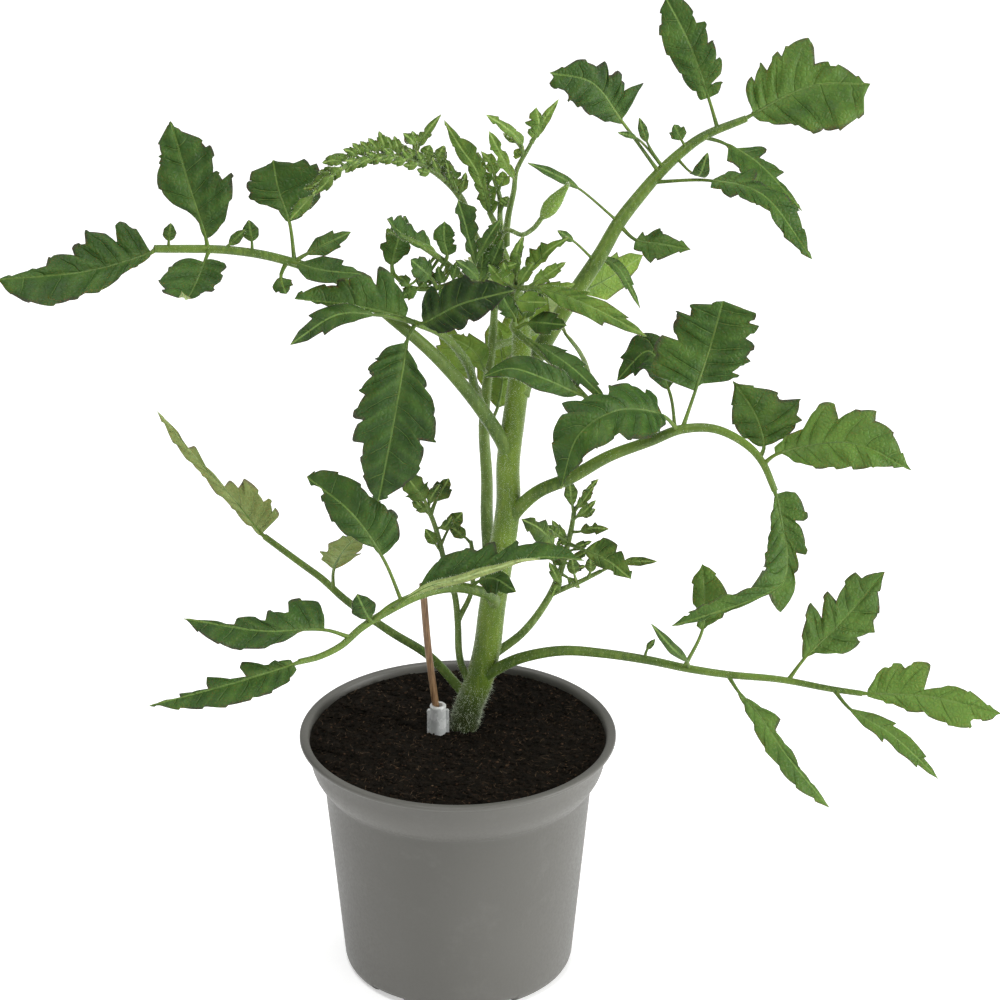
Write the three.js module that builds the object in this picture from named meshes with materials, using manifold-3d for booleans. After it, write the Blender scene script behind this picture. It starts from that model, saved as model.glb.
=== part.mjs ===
// A young tomato plant in a round nursery pot. Millimetres, +Z up.
// The origin is the middle of the pot's flat underside and +Y points away from the viewer.

import * as THREE from 'three';
import Module from 'manifold-3d';
import { mergeVertices } from 'three/addons/utils/BufferGeometryUtils.js';

const wasm = await Module();
wasm.setup();

// Driving dimensions of the pot, a common 12 cm nursery pot
const RIM_RADIUS = 60;
const POT_HEIGHT = 98;
const POT_WALL = 1.2;
const POT_SIDES = 32;
const BASE_RADIUS = 42;
const BAND_BOTTOM = 79;
const BAND_BOTTOM_RADIUS = 50.9;
const LIP_HEIGHT = 1.8;
const FOOT_HEIGHT = 3;
const CENTRE_PAD_RADIUS = 12;
const FOOT_INNER_RADIUS = 32;
const FOOT_COUNT = 6;
const NOTCH_WIDTH = 15;
const FIRST_NOTCH_DEG = -129;
const DRAIN_HOLE_RADIUS = 3.5;
const DRAIN_RING_RADIUS = 24;

// Driving dimensions of the plant
const FIT_GAP = 0.3;
const BLADE_THICKNESS = 0.7;
const STALK_THICKNESS = 1.3;
const STEM_SIDES = 10;
const PETIOLE_SIDES = 5;
const SOIL_TOP = 96.5;
const STICK_RADIUS = 1.35;
const CLIP_BORE = 1.7;
const CLIP_RADIUS = 3.1;
const CLIP_HEIGHT = 15;
const CLIP_DEPTH = 4;
const CLIP_WIDTH = 8.4;
const CLIP_WING_DEPTH = 1.6;
const TOOTH_DEPTH = 0.3;
const STEPS_PER_POINT = 1;
const WIDEST_SHARES = [0.42, 0.42];
const SMALL_HALF = 4;

function surface(name, color, roughness) {
  return new THREE.MeshStandardMaterial({ name, color, roughness, metalness: 0 });
}

const POT_GREY = surface('pot', 0x7d7b76, 0.55);
const SOIL_BROWN = surface('soil', 0x211912, 0.95);
const STEM_GREEN = surface('stem', 0x5f8c3d, 0.6);
const LEAF_GREEN = surface('leaf', 0x2f5a27, 0.55);
const YOUNG_GREEN = surface('young_leaf', 0x4f7c30, 0.55);
const STICK_BROWN = surface('stick', 0x7c4b38, 0.5);
const CLIP_CLEAR = surface('clip', 0xb4babb, 0.25);
const BUD_GREEN = surface('bud', 0x6c8f48, 0.6);

const MAIN_STEM = {
  way: [[2, 8, 62], [2, 8, 92], [4, 8, 104], [8, 7, 116], [11, 6, 130], [13, 5, 148], [16, 4, 168],
    [19, 4, 191], [19, 4, 208], [21, 5, 225], [23, 6, 241], [24, 7, 255], [23, 8, 268], [20, 9, 280],
    [16, 10, 291]],
  radii: [5.4, 5.2, 4.7, 4, 2.2],
};

// A leaf is a list of branches. A branch has its way, its radii from root to end, and its leaflets.
// A leaflet's way is its root, the start of its blade, the points its midrib passes, and its tip.
// Its half widths and its teeth are given for the left and the right edge, seen from its upper side,
// which looks towards face. Fold raises both halves from the midrib, in degrees. Widest is the share of
// the blade's length at which each edge reaches furthest. A larger blade has its lobes in edges instead,
// again left and right: pairs of a share of the blade's length and the reach there.
const LEAVES = [
  {
    name: 'leaf_upper_left',
    material: LEAF_GREEN,
    branches: [
      {
        way: [[20, 4, 211], [15, 1, 222], [5, -5, 240], [-8, -12, 259], [-22, -18, 275], [-39, -22, 291],
          [-62, -28, 303], [-80, -32, 308], [-106, -38, 311]],
        radii: [2.8, 2.3, 1.7, 1.4],
        leaflets: [
          { way: [[-105, -38, 311], [-107, -39, 310], [-129, -44, 305], [-160, -50, 304]],
            edges: [[[0.08, 3.5], [0.25, 9], [0.4, 13.5], [0.68, 17.8], [0.83, 16], [0.92, 13], [0.97, 8]],
              [[0.04, 13], [0.13, 17.5], [0.2, 14], [0.3, 15.5], [0.385, 18], [0.41, 11], [0.5, 12.8],
              [0.53, 9.4], [0.68, 8.4], [0.72, 4.8], [0.87, 3]]],
            face: [0, -0.45, 0.9], fold: 18 },
          { way: [[-87, -34, 310], [-88, -33, 313], [-94, -28, 332], [-100, -22, 353]],
            edges: [[[0.05, 1.8], [0.18, 2], [0.33, 7], [0.5, 12], [0.57, 12], [0.66, 10], [0.86, 7],
              [0.95, 4.5]],
              [[0.05, 6.5], [0.15, 11], [0.28, 14], [0.39, 16.3], [0.41, 12.8], [0.5, 11], [0.63, 12.3],
              [0.75, 11.5], [0.94, 3.5]]],
            face: [0.1, -0.95, 0.3], fold: 8 },
          { way: [[-101, -37, 311], [-101, -36, 313], [-100, -36, 320]], half: [2.4, 2.4], teeth: [0, 0],
            face: [0, -1, 0.2], fold: 0 },
          { way: [[-87, -34, 309], [-88, -42, 308], [-91, -56, 304], [-93, -67, 304], [-94, -75, 310]],
            edges: [[[0.05, 8], [0.2, 9.8], [0.5, 8.5], [0.75, 6], [0.92, 7]],
              [[0.06, 7], [0.2, 12], [0.4, 14], [0.7, 10], [0.9, 8]]],
            face: [0, -0.2, 1], fold: 15 },
          { way: [[-82, -32, 308], [-80, -32, 310], [-74, -32, 316]], half: [2, 2], teeth: [0, 0],
            face: [-0.4, -0.9, 0.3], fold: 0 },
          { way: [[-72, -30, 306], [-72, -29, 310], [-73, -28, 318]], half: [3, 3], teeth: [0, 0],
            face: [0, -1, 0.2], fold: 0 },
          { way: [[-57, -27, 301], [-59, -20, 314], [-63, -12, 323], [-65, -8, 333]],
            edges: [[[0.1, 2.2], [0.25, 4.5], [0.47, 12], [0.62, 12.5], [0.73, 11.5], [0.9, 9], [0.96, 5]],
              [[0.05, 7], [0.15, 13], [0.25, 17], [0.45, 17], [0.62, 15.5], [0.72, 12], [0.78, 14],
              [0.85, 11], [0.93, 7.5]]],
            face: [0, -0.95, 0.3], fold: 10 },
          { way: [[-59, -28, 301], [-56, -30, 302], [-47, -36, 302], [-33, -40, 302]],
            half: [7, 7], teeth: [1, 1], face: [0, -0.4, 0.9], fold: 10 },
          { way: [[-57, -27, 302], [-53, -26, 304], [-37, -22, 311]], half: [4, 4], teeth: [1, 1],
            face: [0, -0.8, 0.6], fold: 8 },
          { way: [[-60, -27, 301], [-62, -30, 297], [-60, -34, 292]], half: [4, 4], teeth: [1, 1],
            face: [0, -0.9, 0.4], fold: 0 },
        ],
      },
    ],
  },
  {
    name: 'leaf_upper_centre',
    material: LEAF_GREEN,
    branches: [
      {
        way: [[11, 19, 219], [7, 12, 234], [4, 5, 248], [-5, -10, 266], [-15, -22, 276]],
        radii: [1.8, 1.5, 1.2],
        leaflets: [
          { way: [[-14, -21, 276], [-18, -25, 279], [-37, -32, 287], [-57, -36, 291]],
            edges: [[[0.1, 4], [0.5, 4], [0.72, 6], [0.76, 3.5], [0.9, 1.5]],
              [[0.1, 9], [0.2, 15], [0.24, 10], [0.5, 12], [0.62, 13], [0.68, 10], [0.82, 7], [0.93, 3.6]]],
            face: [0, -0.92, 0.35], fold: 12 },
          { way: [[-15, -22, 276], [-28, -34, 284], [-42, -44, 288], [-58, -54, 281]],
            half: [5, 5], teeth: [1, 1], face: [0, -0.7, 0.7], fold: 12, widest: [0.5, 0.5] },
          { way: [[-15, -21, 275], [-12, -23, 276], [2, -29, 286], [21, -33, 293]],
            edges: [[[0.06, 8], [0.2, 11], [0.32, 12], [0.36, 9.5], [0.52, 10.5], [0.7, 8], [0.88, 4.5]],
              [[0.08, 6], [0.2, 11], [0.28, 14], [0.4, 12], [0.55, 8], [0.75, 5.5], [0.92, 3]]],
            face: [0, -0.85, 0.5], fold: 10 },
          { way: [[-15, -21, 275], [-17, -27, 272], [-18, -32, 267], [-22, -39, 245], [-28, -39, 213]],
            edges: [[[0.06, 2], [0.15, 6.5], [0.22, 10], [0.25, 9], [0.34, 13], [0.47, 15.8], [0.53, 15.5],
              [0.56, 11.5], [0.67, 13], [0.76, 13], [0.8, 9], [0.95, 3.5]],
              [[0.06, 8], [0.2, 13], [0.31, 15.8], [0.35, 14], [0.42, 16], [0.49, 14], [0.58, 15.5],
              [0.63, 15], [0.67, 11], [0.87, 8], [0.95, 4.5]]],
            face: [0.1, -0.95, 0.2], fold: 10 },
        ],
      },
    ],
  },
  {
    name: 'leaf_upper_right',
    material: LEAF_GREEN,
    branches: [
      {
        way: [[23, 6, 236], [28, 12, 245], [33, 18, 252], [43, 26, 266], [53, 32, 280], [60, 37, 291],
          [68, 42, 300], [75, 46, 307], [82, 49, 313], [91, 52, 319], [107, 55, 325]],
        radii: [3.3, 3, 2.3, 1.3],
        leaflets: [
          { way: [[106, 55, 325], [109, 56, 326], [131, 60, 336], [153, 62, 336]],
            edges: [[[0.03, 8], [0.08, 13], [0.2, 14], [0.23, 16.5], [0.3, 14.5], [0.36, 18], [0.52, 19],
              [0.57, 16], [0.6, 9.5], [0.8, 6], [0.93, 3.8]],
              [[0.05, 5.5], [0.2, 11], [0.32, 16], [0.42, 18], [0.75, 18.5], [0.87, 17], [0.92, 9]]],
            face: [0, -0.92, 0.4], fold: 8 },
          { way: [[96, 53, 322], [93, 58, 332], [86, 66, 350], [76, 70, 369]],
            edges: [[[0.05, 5], [0.2, 7.5], [0.4, 8.8], [0.62, 10], [0.74, 8], [0.86, 5], [0.95, 2]],
              [[0.04, 5], [0.08, 8], [0.12, 4.5], [0.2, 9], [0.28, 10.2], [0.33, 8], [0.38, 10.2],
              [0.44, 10.2], [0.48, 7.5], [0.56, 9.8], [0.7, 7], [0.85, 7], [0.93, 5]]],
            face: [0, -0.95, 0.3], fold: 8 },
          { way: [[75, 46, 307], [61, 40, 329], [49, 34, 347], [34, 30, 352]],
            edges: [[[0.05, 3.5], [0.2, 7.2], [0.38, 10], [0.55, 11.5], [0.72, 11], [0.8, 8], [0.94, 2.5]],
              [[0.06, 4], [0.12, 11], [0.18, 14.5], [0.25, 10], [0.48, 10.3], [0.52, 8.5], [0.58, 10.4],
              [0.62, 7.4], [0.8, 7], [0.93, 5]]],
            face: [0.1, -0.93, 0.35], fold: 8 },
          { way: [[85, 50, 315], [83, 48, 319], [80, 46, 326]], half: [3.4, 3.4], teeth: [1, 1],
            face: [0, -1, 0.2], fold: 0 },
          { way: [[72, 44, 304], [94, 38, 307], [112, 35, 303], [131, 28, 280]],
            edges: [[[0.05, 4], [0.15, 6.5], [0.36, 9.5], [0.42, 8.5], [0.53, 9], [0.65, 8.2], [0.72, 6.2],
              [0.85, 4.5], [0.95, 1.5]],
              [[0.04, 5], [0.12, 7.4], [0.38, 7], [0.43, 5], [0.6, 5.9], [0.75, 5.3], [0.96, 1.2]]],
            face: [0.3, -0.7, 0.6], fold: 12 },
          { way: [[91, 52, 319], [99, 53, 316], [111, 52, 309], [128, 46, 292]],
            edges: [[[0.05, 2], [0.15, 5], [0.3, 6.5], [0.36, 8], [0.42, 5], [0.6, 6.6], [0.66, 5],
              [0.86, 4]],
              [[0.1, 4], [0.4, 7], [0.7, 6], [0.9, 3]]],
            face: [0.5, -0.6, 0.6], fold: 10 },
          { way: [[81, 49, 312], [86, 42, 309], [89, 36, 310], [92, 33, 320]], half: [3, 3], teeth: [0, 0],
            face: [0, -1, 0], fold: 0 },
          { way: [[60, 37, 290], [66, 32, 286], [75, 28, 286], [86, 25, 285]],
            edges: [[[0.05, 5], [0.18, 3], [0.4, 7], [0.46, 4.3], [0.65, 4], [0.85, 2.8]],
              [[0.05, 4.5], [0.2, 5], [0.38, 9], [0.44, 7], [0.6, 5.5], [0.8, 3]]],
            face: [0, -0.7, 0.7], fold: 8 },
          { way: [[59, 36, 292], [45, 30, 307], [36, 26, 314], [26, 20, 321]],
            half: [2.2, 2.2], teeth: [0, 0], face: [0.5, -0.6, 0.6], fold: 10 },
          { way: [[75, 43, 312], [70, 41, 321], [67, 40, 331]], half: [1.8, 1.8], teeth: [0, 0],
            face: [0, -1, 0.2], fold: 0 },
          { way: [[75, 43, 312], [66, 40, 323], [59, 38, 326]], half: [1.2, 1.2], teeth: [0, 0],
            face: [0, -1, 0.3], fold: 0 },
          { way: [[51, 31, 278], [43, 26, 288], [37, 24, 293]], half: [1.8, 1.8], teeth: [0, 0],
            face: [0.4, -0.7, 0.6], fold: 0 },
          { way: [[46, 28, 270], [51, 36, 277], [59, 38, 273], [68, 34, 258]],
            half: [3.5, 3.5], teeth: [1, 1], face: [0.5, -0.4, 0.8], fold: 15 },
        ],
      },
    ],
  },
  {
    name: 'leaf_right_arch',
    material: LEAF_GREEN,
    branches: [
      {
        way: [[19, 4, 185], [25, 0, 194], [31, -4, 201], [42, -8, 208], [56, -13, 219], [71, -17, 227],
          [82, -20, 233], [94, -22, 234], [105, -24, 229], [111, -26, 223], [116, -28, 212]],
        radii: [2.6, 2.3, 1.7, 1.2],
        leaflets: [
          { way: [[81, -20, 232], [74, -27, 242], [57, -42, 250], [44, -50, 244], [38, -52, 224]],
            half: [16, 9], teeth: [2, 3], face: [-0.2, -0.75, 0.65], fold: 14 },
          { way: [[82, -20, 233], [87, -13, 245], [92, -6, 258], [97, -2, 276]],
            edges: [[[0.05, 4], [0.15, 11], [0.3, 16], [0.42, 18], [0.47, 15.5], [0.62, 19.5], [0.68, 16],
              [0.8, 13], [0.93, 8]],
              [[0.05, 2], [0.15, 7], [0.22, 12], [0.3, 12], [0.43, 16.8], [0.5, 15], [0.61, 16],
              [0.64, 13], [0.77, 16], [0.83, 13], [0.93, 13.5], [0.97, 8]]],
            face: [0, -0.95, 0.3], fold: 8 },
          { way: [[80, -19, 232], [78, 4, 238], [71, 12, 250], [59, 12, 238]],
            half: [9, 9], teeth: [2, 2], face: [-0.3, -0.7, 0.7], fold: 12 },
          { way: [[110, -26, 224], [112, -22, 227], [109, -14, 236], [101, -6, 246]],
            edges: [[[0.06, 6], [0.15, 8], [0.35, 9.7], [0.55, 9.8], [0.7, 8], [0.85, 4.4], [0.95, 2]],
              [[0.08, 10], [0.18, 15.5], [0.38, 18], [0.43, 16.5], [0.46, 12], [0.58, 11.2], [0.75, 7],
              [0.88, 3.5]]],
            face: [0, -0.9, 0.4], fold: 10 },
          { way: [[112, -26, 222], [116, -27, 226], [143, -30, 232], [165, -32, 222]],
            edges: [[[0.06, 4], [0.16, 9], [0.23, 8], [0.3, 13], [0.4, 16.5], [0.46, 11.5], [0.64, 15],
              [0.67, 11], [0.74, 11], [0.8, 8], [0.92, 4]],
              [[0.05, 2.5], [0.13, 6], [0.28, 9.8], [0.6, 10], [0.7, 8.5], [0.78, 5], [0.9, 2.4]]],
            face: [0, -0.85, 0.5], fold: 12 },
          { way: [[116, -28, 213], [117, -31, 207], [121, -38, 193], [118, -45, 184], [108, -51, 180],
            [95, -55, 177], [78, -58, 172]],
            edges: [[[0.05, 5], [0.1, 9.5], [0.2, 8.8], [0.26, 5], [0.37, 4.5], [0.44, 8], [0.5, 8.5],
              [0.54, 2], [0.65, 2], [0.75, 5], [0.92, 1.5]],
              [[0.06, 2], [0.3, 6], [0.45, 7.5], [0.65, 5.5], [0.85, 4], [0.94, 2]]],
            face: [0.2, -0.9, 0.3], fold: 15 },
        ],
      },
    ],
  },
  {
    name: 'leaf_lower_right',
    material: LEAF_GREEN,
    branches: [
      {
        way: [[8, 6, 117], [15, 2, 124], [24, -1, 130], [39, -3, 134], [54, -5, 134], [72, -7, 132],
          [87, -8, 129], [102, -9, 127], [121, -9, 125], [140, -9, 121], [152, -9, 119]],
        radii: [2.3, 1.8, 1.4, 1.1],
        leaflets: [
          { way: [[151, -9, 119], [154, -9, 119], [178, -12, 119], [204, -14, 113]],
            edges: [[[0.04, 6], [0.1, 10.5], [0.17, 13], [0.27, 12.5], [0.38, 14.3], [0.43, 3.8], [0.55, 6],
              [0.75, 6], [0.9, 3.2]],
              [[0.05, 2], [0.2, 4.8], [0.35, 7.5], [0.5, 8.2], [0.65, 9.8], [0.78, 10.3], [0.82, 6.5],
              [0.92, 4.8]]],
            face: [0, -0.75, 0.65], fold: 12 },
          { way: [[124, -9, 125], [130, -6, 132], [145, 0, 146], [160, 5, 163]],
            edges: [[[0.05, 4], [0.15, 8.5], [0.29, 14], [0.32, 8], [0.42, 11], [0.53, 14], [0.56, 9.2],
              [0.82, 10.5], [0.86, 6.5], [0.94, 4]],
              [[0.06, 2.5], [0.15, 5], [0.22, 9.5], [0.32, 12.2], [0.44, 13], [0.48, 11], [0.56, 13.2],
              [0.75, 8.5], [0.85, 4.5], [0.95, 2.4]]],
            face: [0.3, -0.9, 0.3], fold: 8 },
          { way: [[141, -9, 120], [147, -13, 115], [163, -20, 107], [180, -28, 93]],
            half: [5, 5], teeth: [2, 2], face: [0.3, -0.6, 0.7], fold: 14 },
          { way: [[101, -9, 127], [105, -12, 122], [112, -16, 115], [123, -26, 102], [139, -34, 84]],
            edges: [[[0.1, 0.8], [0.2, 3.5], [0.32, 6.8], [0.38, 2], [0.5, 3.1], [0.62, 2.8], [0.68, 1],
              [0.83, 1.4]],
              [[0.1, 2.8], [0.25, 5], [0.6, 6.2], [0.75, 5.8], [0.88, 3.5]]],
            face: [0.4, -0.7, 0.5], fold: 12 },
          { way: [[85, -8, 129], [92, 2, 140], [93, 8, 150], [92, 12, 163]],
            edges: [[[0.05, 3], [0.2, 2.6], [0.27, 7], [0.32, 4], [0.6, 5.2], [0.82, 4], [0.92, 1.8]],
              [[0.08, 2], [0.2, 7], [0.35, 8.5], [0.55, 9], [0.85, 5], [0.94, 3]]],
            face: [-0.2, -0.9, 0.3], fold: 10 },
          { way: [[87, -8, 129], [86, -12, 134], [80, -16, 142], [72, -18, 153]], half: [2, 2], teeth: [0, 0],
            face: [0, -0.9, 0.4], fold: 0 },
          { way: [[70, -7, 132], [71, -8, 137], [74, -9, 142]], half: [1.2, 1.2], teeth: [0, 0],
            face: [0, -0.9, 0.4], fold: 0 },
        ],
      },
    ],
  },
  {
    name: 'leaf_lower_left_back',
    material: LEAF_GREEN,
    branches: [
      {
        way: [[6, 8, 105], [0, 12, 111], [-11, 18, 121], [-26, 23, 129], [-43, 30, 139], [-52, 34, 146],
          [-60, 37, 151], [-74, 42, 160]],
        radii: [1.9, 1.5, 1.2],
        leaflets: [
          { way: [[-73, 42, 159], [-75, 42, 161], [-86, 45, 175], [-99, 47, 190], [-114, 50, 209]],
            edges: [[[0.06, 3], [0.3, 3.8], [0.75, 4.3], [0.88, 3.5], [0.95, 1.5]],
              [[0.04, 11.5], [0.13, 12], [0.2, 9.5], [0.28, 10], [0.33, 5], [0.38, 1], [0.6, 1.6],
              [0.66, 3.8], [0.7, 1.2], [0.9, 1.5]]],
            face: [0.3, -0.9, 0.3], fold: 12 },
          { way: [[-48, 32, 142], [-47, 26, 154], [-42, 16, 168], [-35, 10, 178]],
            half: [8, 8], teeth: [2, 2], face: [0, 0.6, 0.8], fold: 10 },
        ],
      },
    ],
  },
  {
    name: 'leaf_lower_left_front',
    material: LEAF_GREEN,
    branches: [
      {
        way: [[14, 4, 150], [13, -4, 157], [8, -9, 162], [-1, -14, 166], [-13, -24, 168], [-26, -33, 165],
          [-35, -40, 162], [-42, -46, 158], [-50, -51, 156], [-57, -55, 156]],
        radii: [2.2, 1.9, 1.4, 1.1],
        leaflets: [
          { way: [[-31, -37, 164], [-22, -38, 172], [8, -32, 181], [30, -26, 184], [47, -22, 181]],
            edges: [[[0.1, 1.5], [0.18, 3], [0.24, 9], [0.36, 13], [0.42, 11], [0.5, 12], [0.68, 7],
              [0.78, 6.5], [0.88, 3.5]],
              [[0.08, 3], [0.3, 3.5], [0.5, 2.5], [0.75, 1.5]]],
            face: [0, -0.65, 0.75], fold: 14 },
          { way: [[-39, -43, 160], [-48, -47, 165], [-70, -56, 169], [-98, -62, 177]],
            edges: [[[0.1, 0.8], [0.22, 1.5], [0.35, 5], [0.5, 8.5], [0.6, 10], [0.75, 9.6], [0.85, 7.4],
              [0.93, 4]],
              [[0.04, 12], [0.12, 13.5], [0.22, 12.5], [0.28, 8.5], [0.38, 9], [0.45, 6], [0.62, 5.5],
              [0.66, 2], [0.9, 1.2]]],
            face: [0, -0.6, 0.8], fold: 12 },
          { way: [[-31, -37, 163], [-32, -40, 166], [-36, -44, 178]], half: [4.5, 4.5], teeth: [0, 0],
            face: [0, -0.95, 0.3], fold: 0 },
          { way: [[-56, -55, 156], [-59, -57, 156], [-80, -68, 154], [-110, -80, 151]],
            edges: [[[0.04, 5], [0.15, 8], [0.3, 9.2], [0.5, 9], [0.65, 8], [0.8, 5.8], [0.92, 2.8]],
              [[0.05, 3.5], [0.2, 4.5], [0.34, 8.4], [0.37, 2.5], [0.45, 3.5], [0.57, 6.5], [0.61, 1.5],
              [0.75, 2.6], [0.8, 0.8]]],
            face: [0, -0.6, 0.8], fold: 12 },
          { way: [[-20, -29, 167], [-27, -37, 190], [-38, -36, 207], [-54, -33, 220]],
            edges: [[[0.06, 1.5], [0.15, 5], [0.3, 8.5], [0.45, 9], [0.62, 7], [0.8, 2], [0.9, 2.5]],
              [[0.04, 8.5], [0.15, 12.3], [0.28, 14], [0.32, 12.2], [0.45, 13], [0.6, 10.5], [0.88, 7],
              [0.95, 5]]],
            face: [0.1, -0.9, 0.4], fold: 10 },
          { way: [[5, -11, 164], [8, -13, 168], [14, -17, 171], [22, -20, 167]], half: [4, 6], teeth: [0, 1],
            face: [0, -0.8, 0.6], fold: 0 },
        ],
      },
    ],
  },
  {
    name: 'shoot_left',
    material: YOUNG_GREEN,
    branches: [
      {
        way: [[6, 8, 112], [1, 8, 124], [0, 10, 140], [-1, 11, 150], [-5, 11, 165], [-8, 11, 178],
          [-11, 11, 187]],
        radii: [1.5, 1.2, 0.9],
        leaflets: [
          { way: [[-10, 11, 186], [-12, 10, 190], [-20, 8, 203]], half: [5, 5], teeth: [2, 2],
            face: [0, -0.95, 0.3], fold: 8 },
          { way: [[-10, 11, 184], [-8, 12, 189], [-3, 13, 198]], half: [4, 4], teeth: [1, 1],
            face: [0, -0.95, 0.3], fold: 8 },
          { way: [[-6, 11, 171], [-3, 12, 178], [2, 13, 184]], half: [3, 3], teeth: [0, 0],
            face: [0, -0.95, 0.3], fold: 0 },
          { way: [[-6, 11, 168], [-8, 10, 172], [-12, 9, 179]], half: [2.2, 2.2], teeth: [0, 0],
            face: [0, -0.95, 0.3], fold: 0 },
        ],
      },
      {
        way: [[0, 10, 140], [5, 13, 150], [6, 15, 163], [5, 15, 171]],
        radii: [1, 0.8],
        leaflets: [
          { way: [[5, 15, 170], [3, 14, 173], [-3, 12, 179]], half: [2.5, 2.5], teeth: [0, 0],
            face: [0, -0.95, 0.3], fold: 0 },
        ],
      },
    ],
  },
  {
    name: 'shoot_right',
    material: YOUNG_GREEN,
    branches: [
      {
        way: [[10, 7, 125], [17, 9, 129], [25, 11, 135], [34, 14, 147], [39, 17, 158],
          [41, 18, 166], [43, 19, 175], [44, 20, 182]],
        radii: [1.7, 1.4, 0.9],
        leaflets: [
          { way: [[45, 19, 183], [47, 20, 186], [49, 20, 190], [53, 21, 194]],
            edges: [[[0.15, 1.2], [0.35, 2], [0.42, 1.1], [0.75, 1.3]],
              [[0.12, 1.8], [0.22, 2.4], [0.3, 1], [0.5, 2], [0.56, 1], [0.8, 1.2]]],
            face: [0, -0.95, 0.3], fold: 8 },
          { way: [[43, 19, 180], [43, 19, 185], [42, 18, 195]], half: [2.6, 2.6], teeth: [0, 0],
            face: [0, -0.95, 0.3], fold: 8 },
          { way: [[44, 19, 178], [46, 19, 180], [52, 20, 182]], half: [1.6, 2.2], teeth: [0, 0],
            face: [0, -0.95, 0.3], fold: 8 },
          { way: [[41, 18, 169], [38, 15, 173], [33, 12, 179]], half: [2.4, 2.4], teeth: [0, 0],
            face: [0, -0.9, 0.4], fold: 8 },
          { way: [[43, 18, 173], [46, 17, 174], [51, 16, 176], [57, 15, 176]],
            edges: [[[0.12, 1.8], [0.3, 3], [0.38, 1.4], [0.55, 2.2], [0.62, 1.2], [0.85, 1]],
              [[0.2, 2.2], [0.5, 2.8], [0.8, 1.6]]],
            face: [0, -0.9, 0.4], fold: 8 },
          { way: [[43, 18, 168], [48, 9, 170], [56, 5, 168], [65, 1, 162]],
            edges: [[[0.05, 3], [0.19, 7], [0.38, 7.8], [0.46, 7.6], [0.5, 5.2], [0.56, 6], [0.7, 4.4],
              [0.93, 2.6]],
              [[0.07, 2.2], [0.2, 3.4], [0.43, 4.2], [0.6, 3.4], [0.86, 1.8]]],
            face: [0.3, -0.85, 0.4], fold: 8 },
          { way: [[39, 16, 161], [36, 12, 171], [31, 9, 179], [24, 7, 184]],
            edges: [[[0.12, 3], [0.4, 5], [0.6, 4.6], [0.85, 2.6]],
              [[0.1, 2], [0.3, 3.6], [0.38, 2.2], [0.55, 4.6], [0.64, 2.6], [0.85, 2.2]]],
            face: [0, -0.85, 0.5], fold: 8 },
          { way: [[37, 16, 156], [35, 15, 166], [31, 13, 177]], half: [2.4, 2.4], teeth: [0, 0],
            face: [0, -0.9, 0.4], fold: 0 },
        ],
      },
      {
        way: [[35, 15, 149], [45, 14, 154], [54, 14, 159]],
        radii: [1.1, 0.8],
        leaflets: [
          { way: [[53, 14, 158], [62, 13, 163], [75, 10, 165]], half: [1.8, 1.8], teeth: [0, 0],
            face: [0, -0.8, 0.6], fold: 8 },
          { way: [[45, 14, 154], [44, 13, 158], [43, 12, 166]], half: [2.4, 2.4], teeth: [0, 0],
            face: [0, -0.95, 0.3], fold: 0 },
          { way: [[49, 14, 156], [50, 13, 159], [50, 12, 166]], half: [2.2, 2.2], teeth: [0, 0],
            face: [0, -0.95, 0.3], fold: 0 },
        ],
      },
    ],
  },
  {
    name: 'shoot_back',
    material: YOUNG_GREEN,
    branches: [
      {
        way: [[14, 5, 154], [12, 13, 166], [11, 17, 180], [11, 19, 195], [10, 21, 215], [11, 23, 230],
          [13, 26, 246], [14, 28, 262]],
        radii: [2.5, 2.3, 1.9, 1.3],
        leaflets: [
          { way: [[14, 28, 261], [13, 32, 264], [10, 42, 270], [6, 52, 272]], half: [9, 9], teeth: [1, 1],
            face: [0, 0.6, 0.8], fold: 12 },
          { way: [[11, 21, 213], [15, 30, 219], [17, 38, 232], [14, 44, 250]], half: [11, 11], teeth: [1, 1],
            face: [0, 0.95, 0.2], fold: 10 },
          { way: [[12, 24, 236], [19, 32, 238], [27, 44, 246], [30, 50, 262]], half: [11, 11], teeth: [1, 1],
            face: [0.2, 0.9, 0.3], fold: 10 },
          { way: [[11, 22, 226], [6, 27, 232], [0, 32, 240], [-6, 36, 252]], half: [7, 7], teeth: [1, 1],
            face: [-0.3, 0.8, 0.5], fold: 10 },
        ],
      },
      {
        way: [[13, 26, 246], [24, 34, 246], [36, 41, 250], [46, 49, 256]],
        radii: [1.3, 1],
        leaflets: [
          { way: [[45, 49, 256], [47, 51, 257], [58, 58, 261], [70, 64, 267]], half: [9, 9], teeth: [1, 1],
            face: [0.1, 0.9, 0.2], fold: 8 },
          { way: [[34, 40, 249], [34, 46, 250], [34, 58, 252], [32, 70, 248]], half: [9, 9], teeth: [1, 1],
            face: [0, 0.1, 1], fold: 10 },
          { way: [[38, 42, 251], [40, 38, 247], [46, 36, 238], [50, 38, 226]], half: [6, 6], teeth: [1, 1],
            face: [0.5, 0.2, 0.8], fold: 10 },
        ],
      },
    ],
  },
  {
    name: 'crown_leaf_arching',
    material: YOUNG_GREEN,
    branches: [
      {
        way: [[20, 9, 278], [13, 14, 284], [6, 16, 296], [2, 12, 310], [-7, 5, 323],
          [-18, -4, 332], [-29, -13, 336], [-39, -20, 335], [-49, -26, 328]],
        radii: [1.5, 1.2, 0.9],
        comb: { from: 0.5, to: 0.97, pairs: 5, length: [10, 7], half: 2.6, spread: 62, rise: 50 },
        leaflets: [
          { way: [[-48, -25, 329], [-50, -27, 327], [-58, -33, 320]], half: [3.5, 3.5], teeth: [1, 1],
            face: [-0.4, -0.5, 0.7], fold: 12 },
          { way: [[1, 9, 313], [0, 8, 316], [-2, 6, 323], [-4, 4, 329]],
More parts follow.
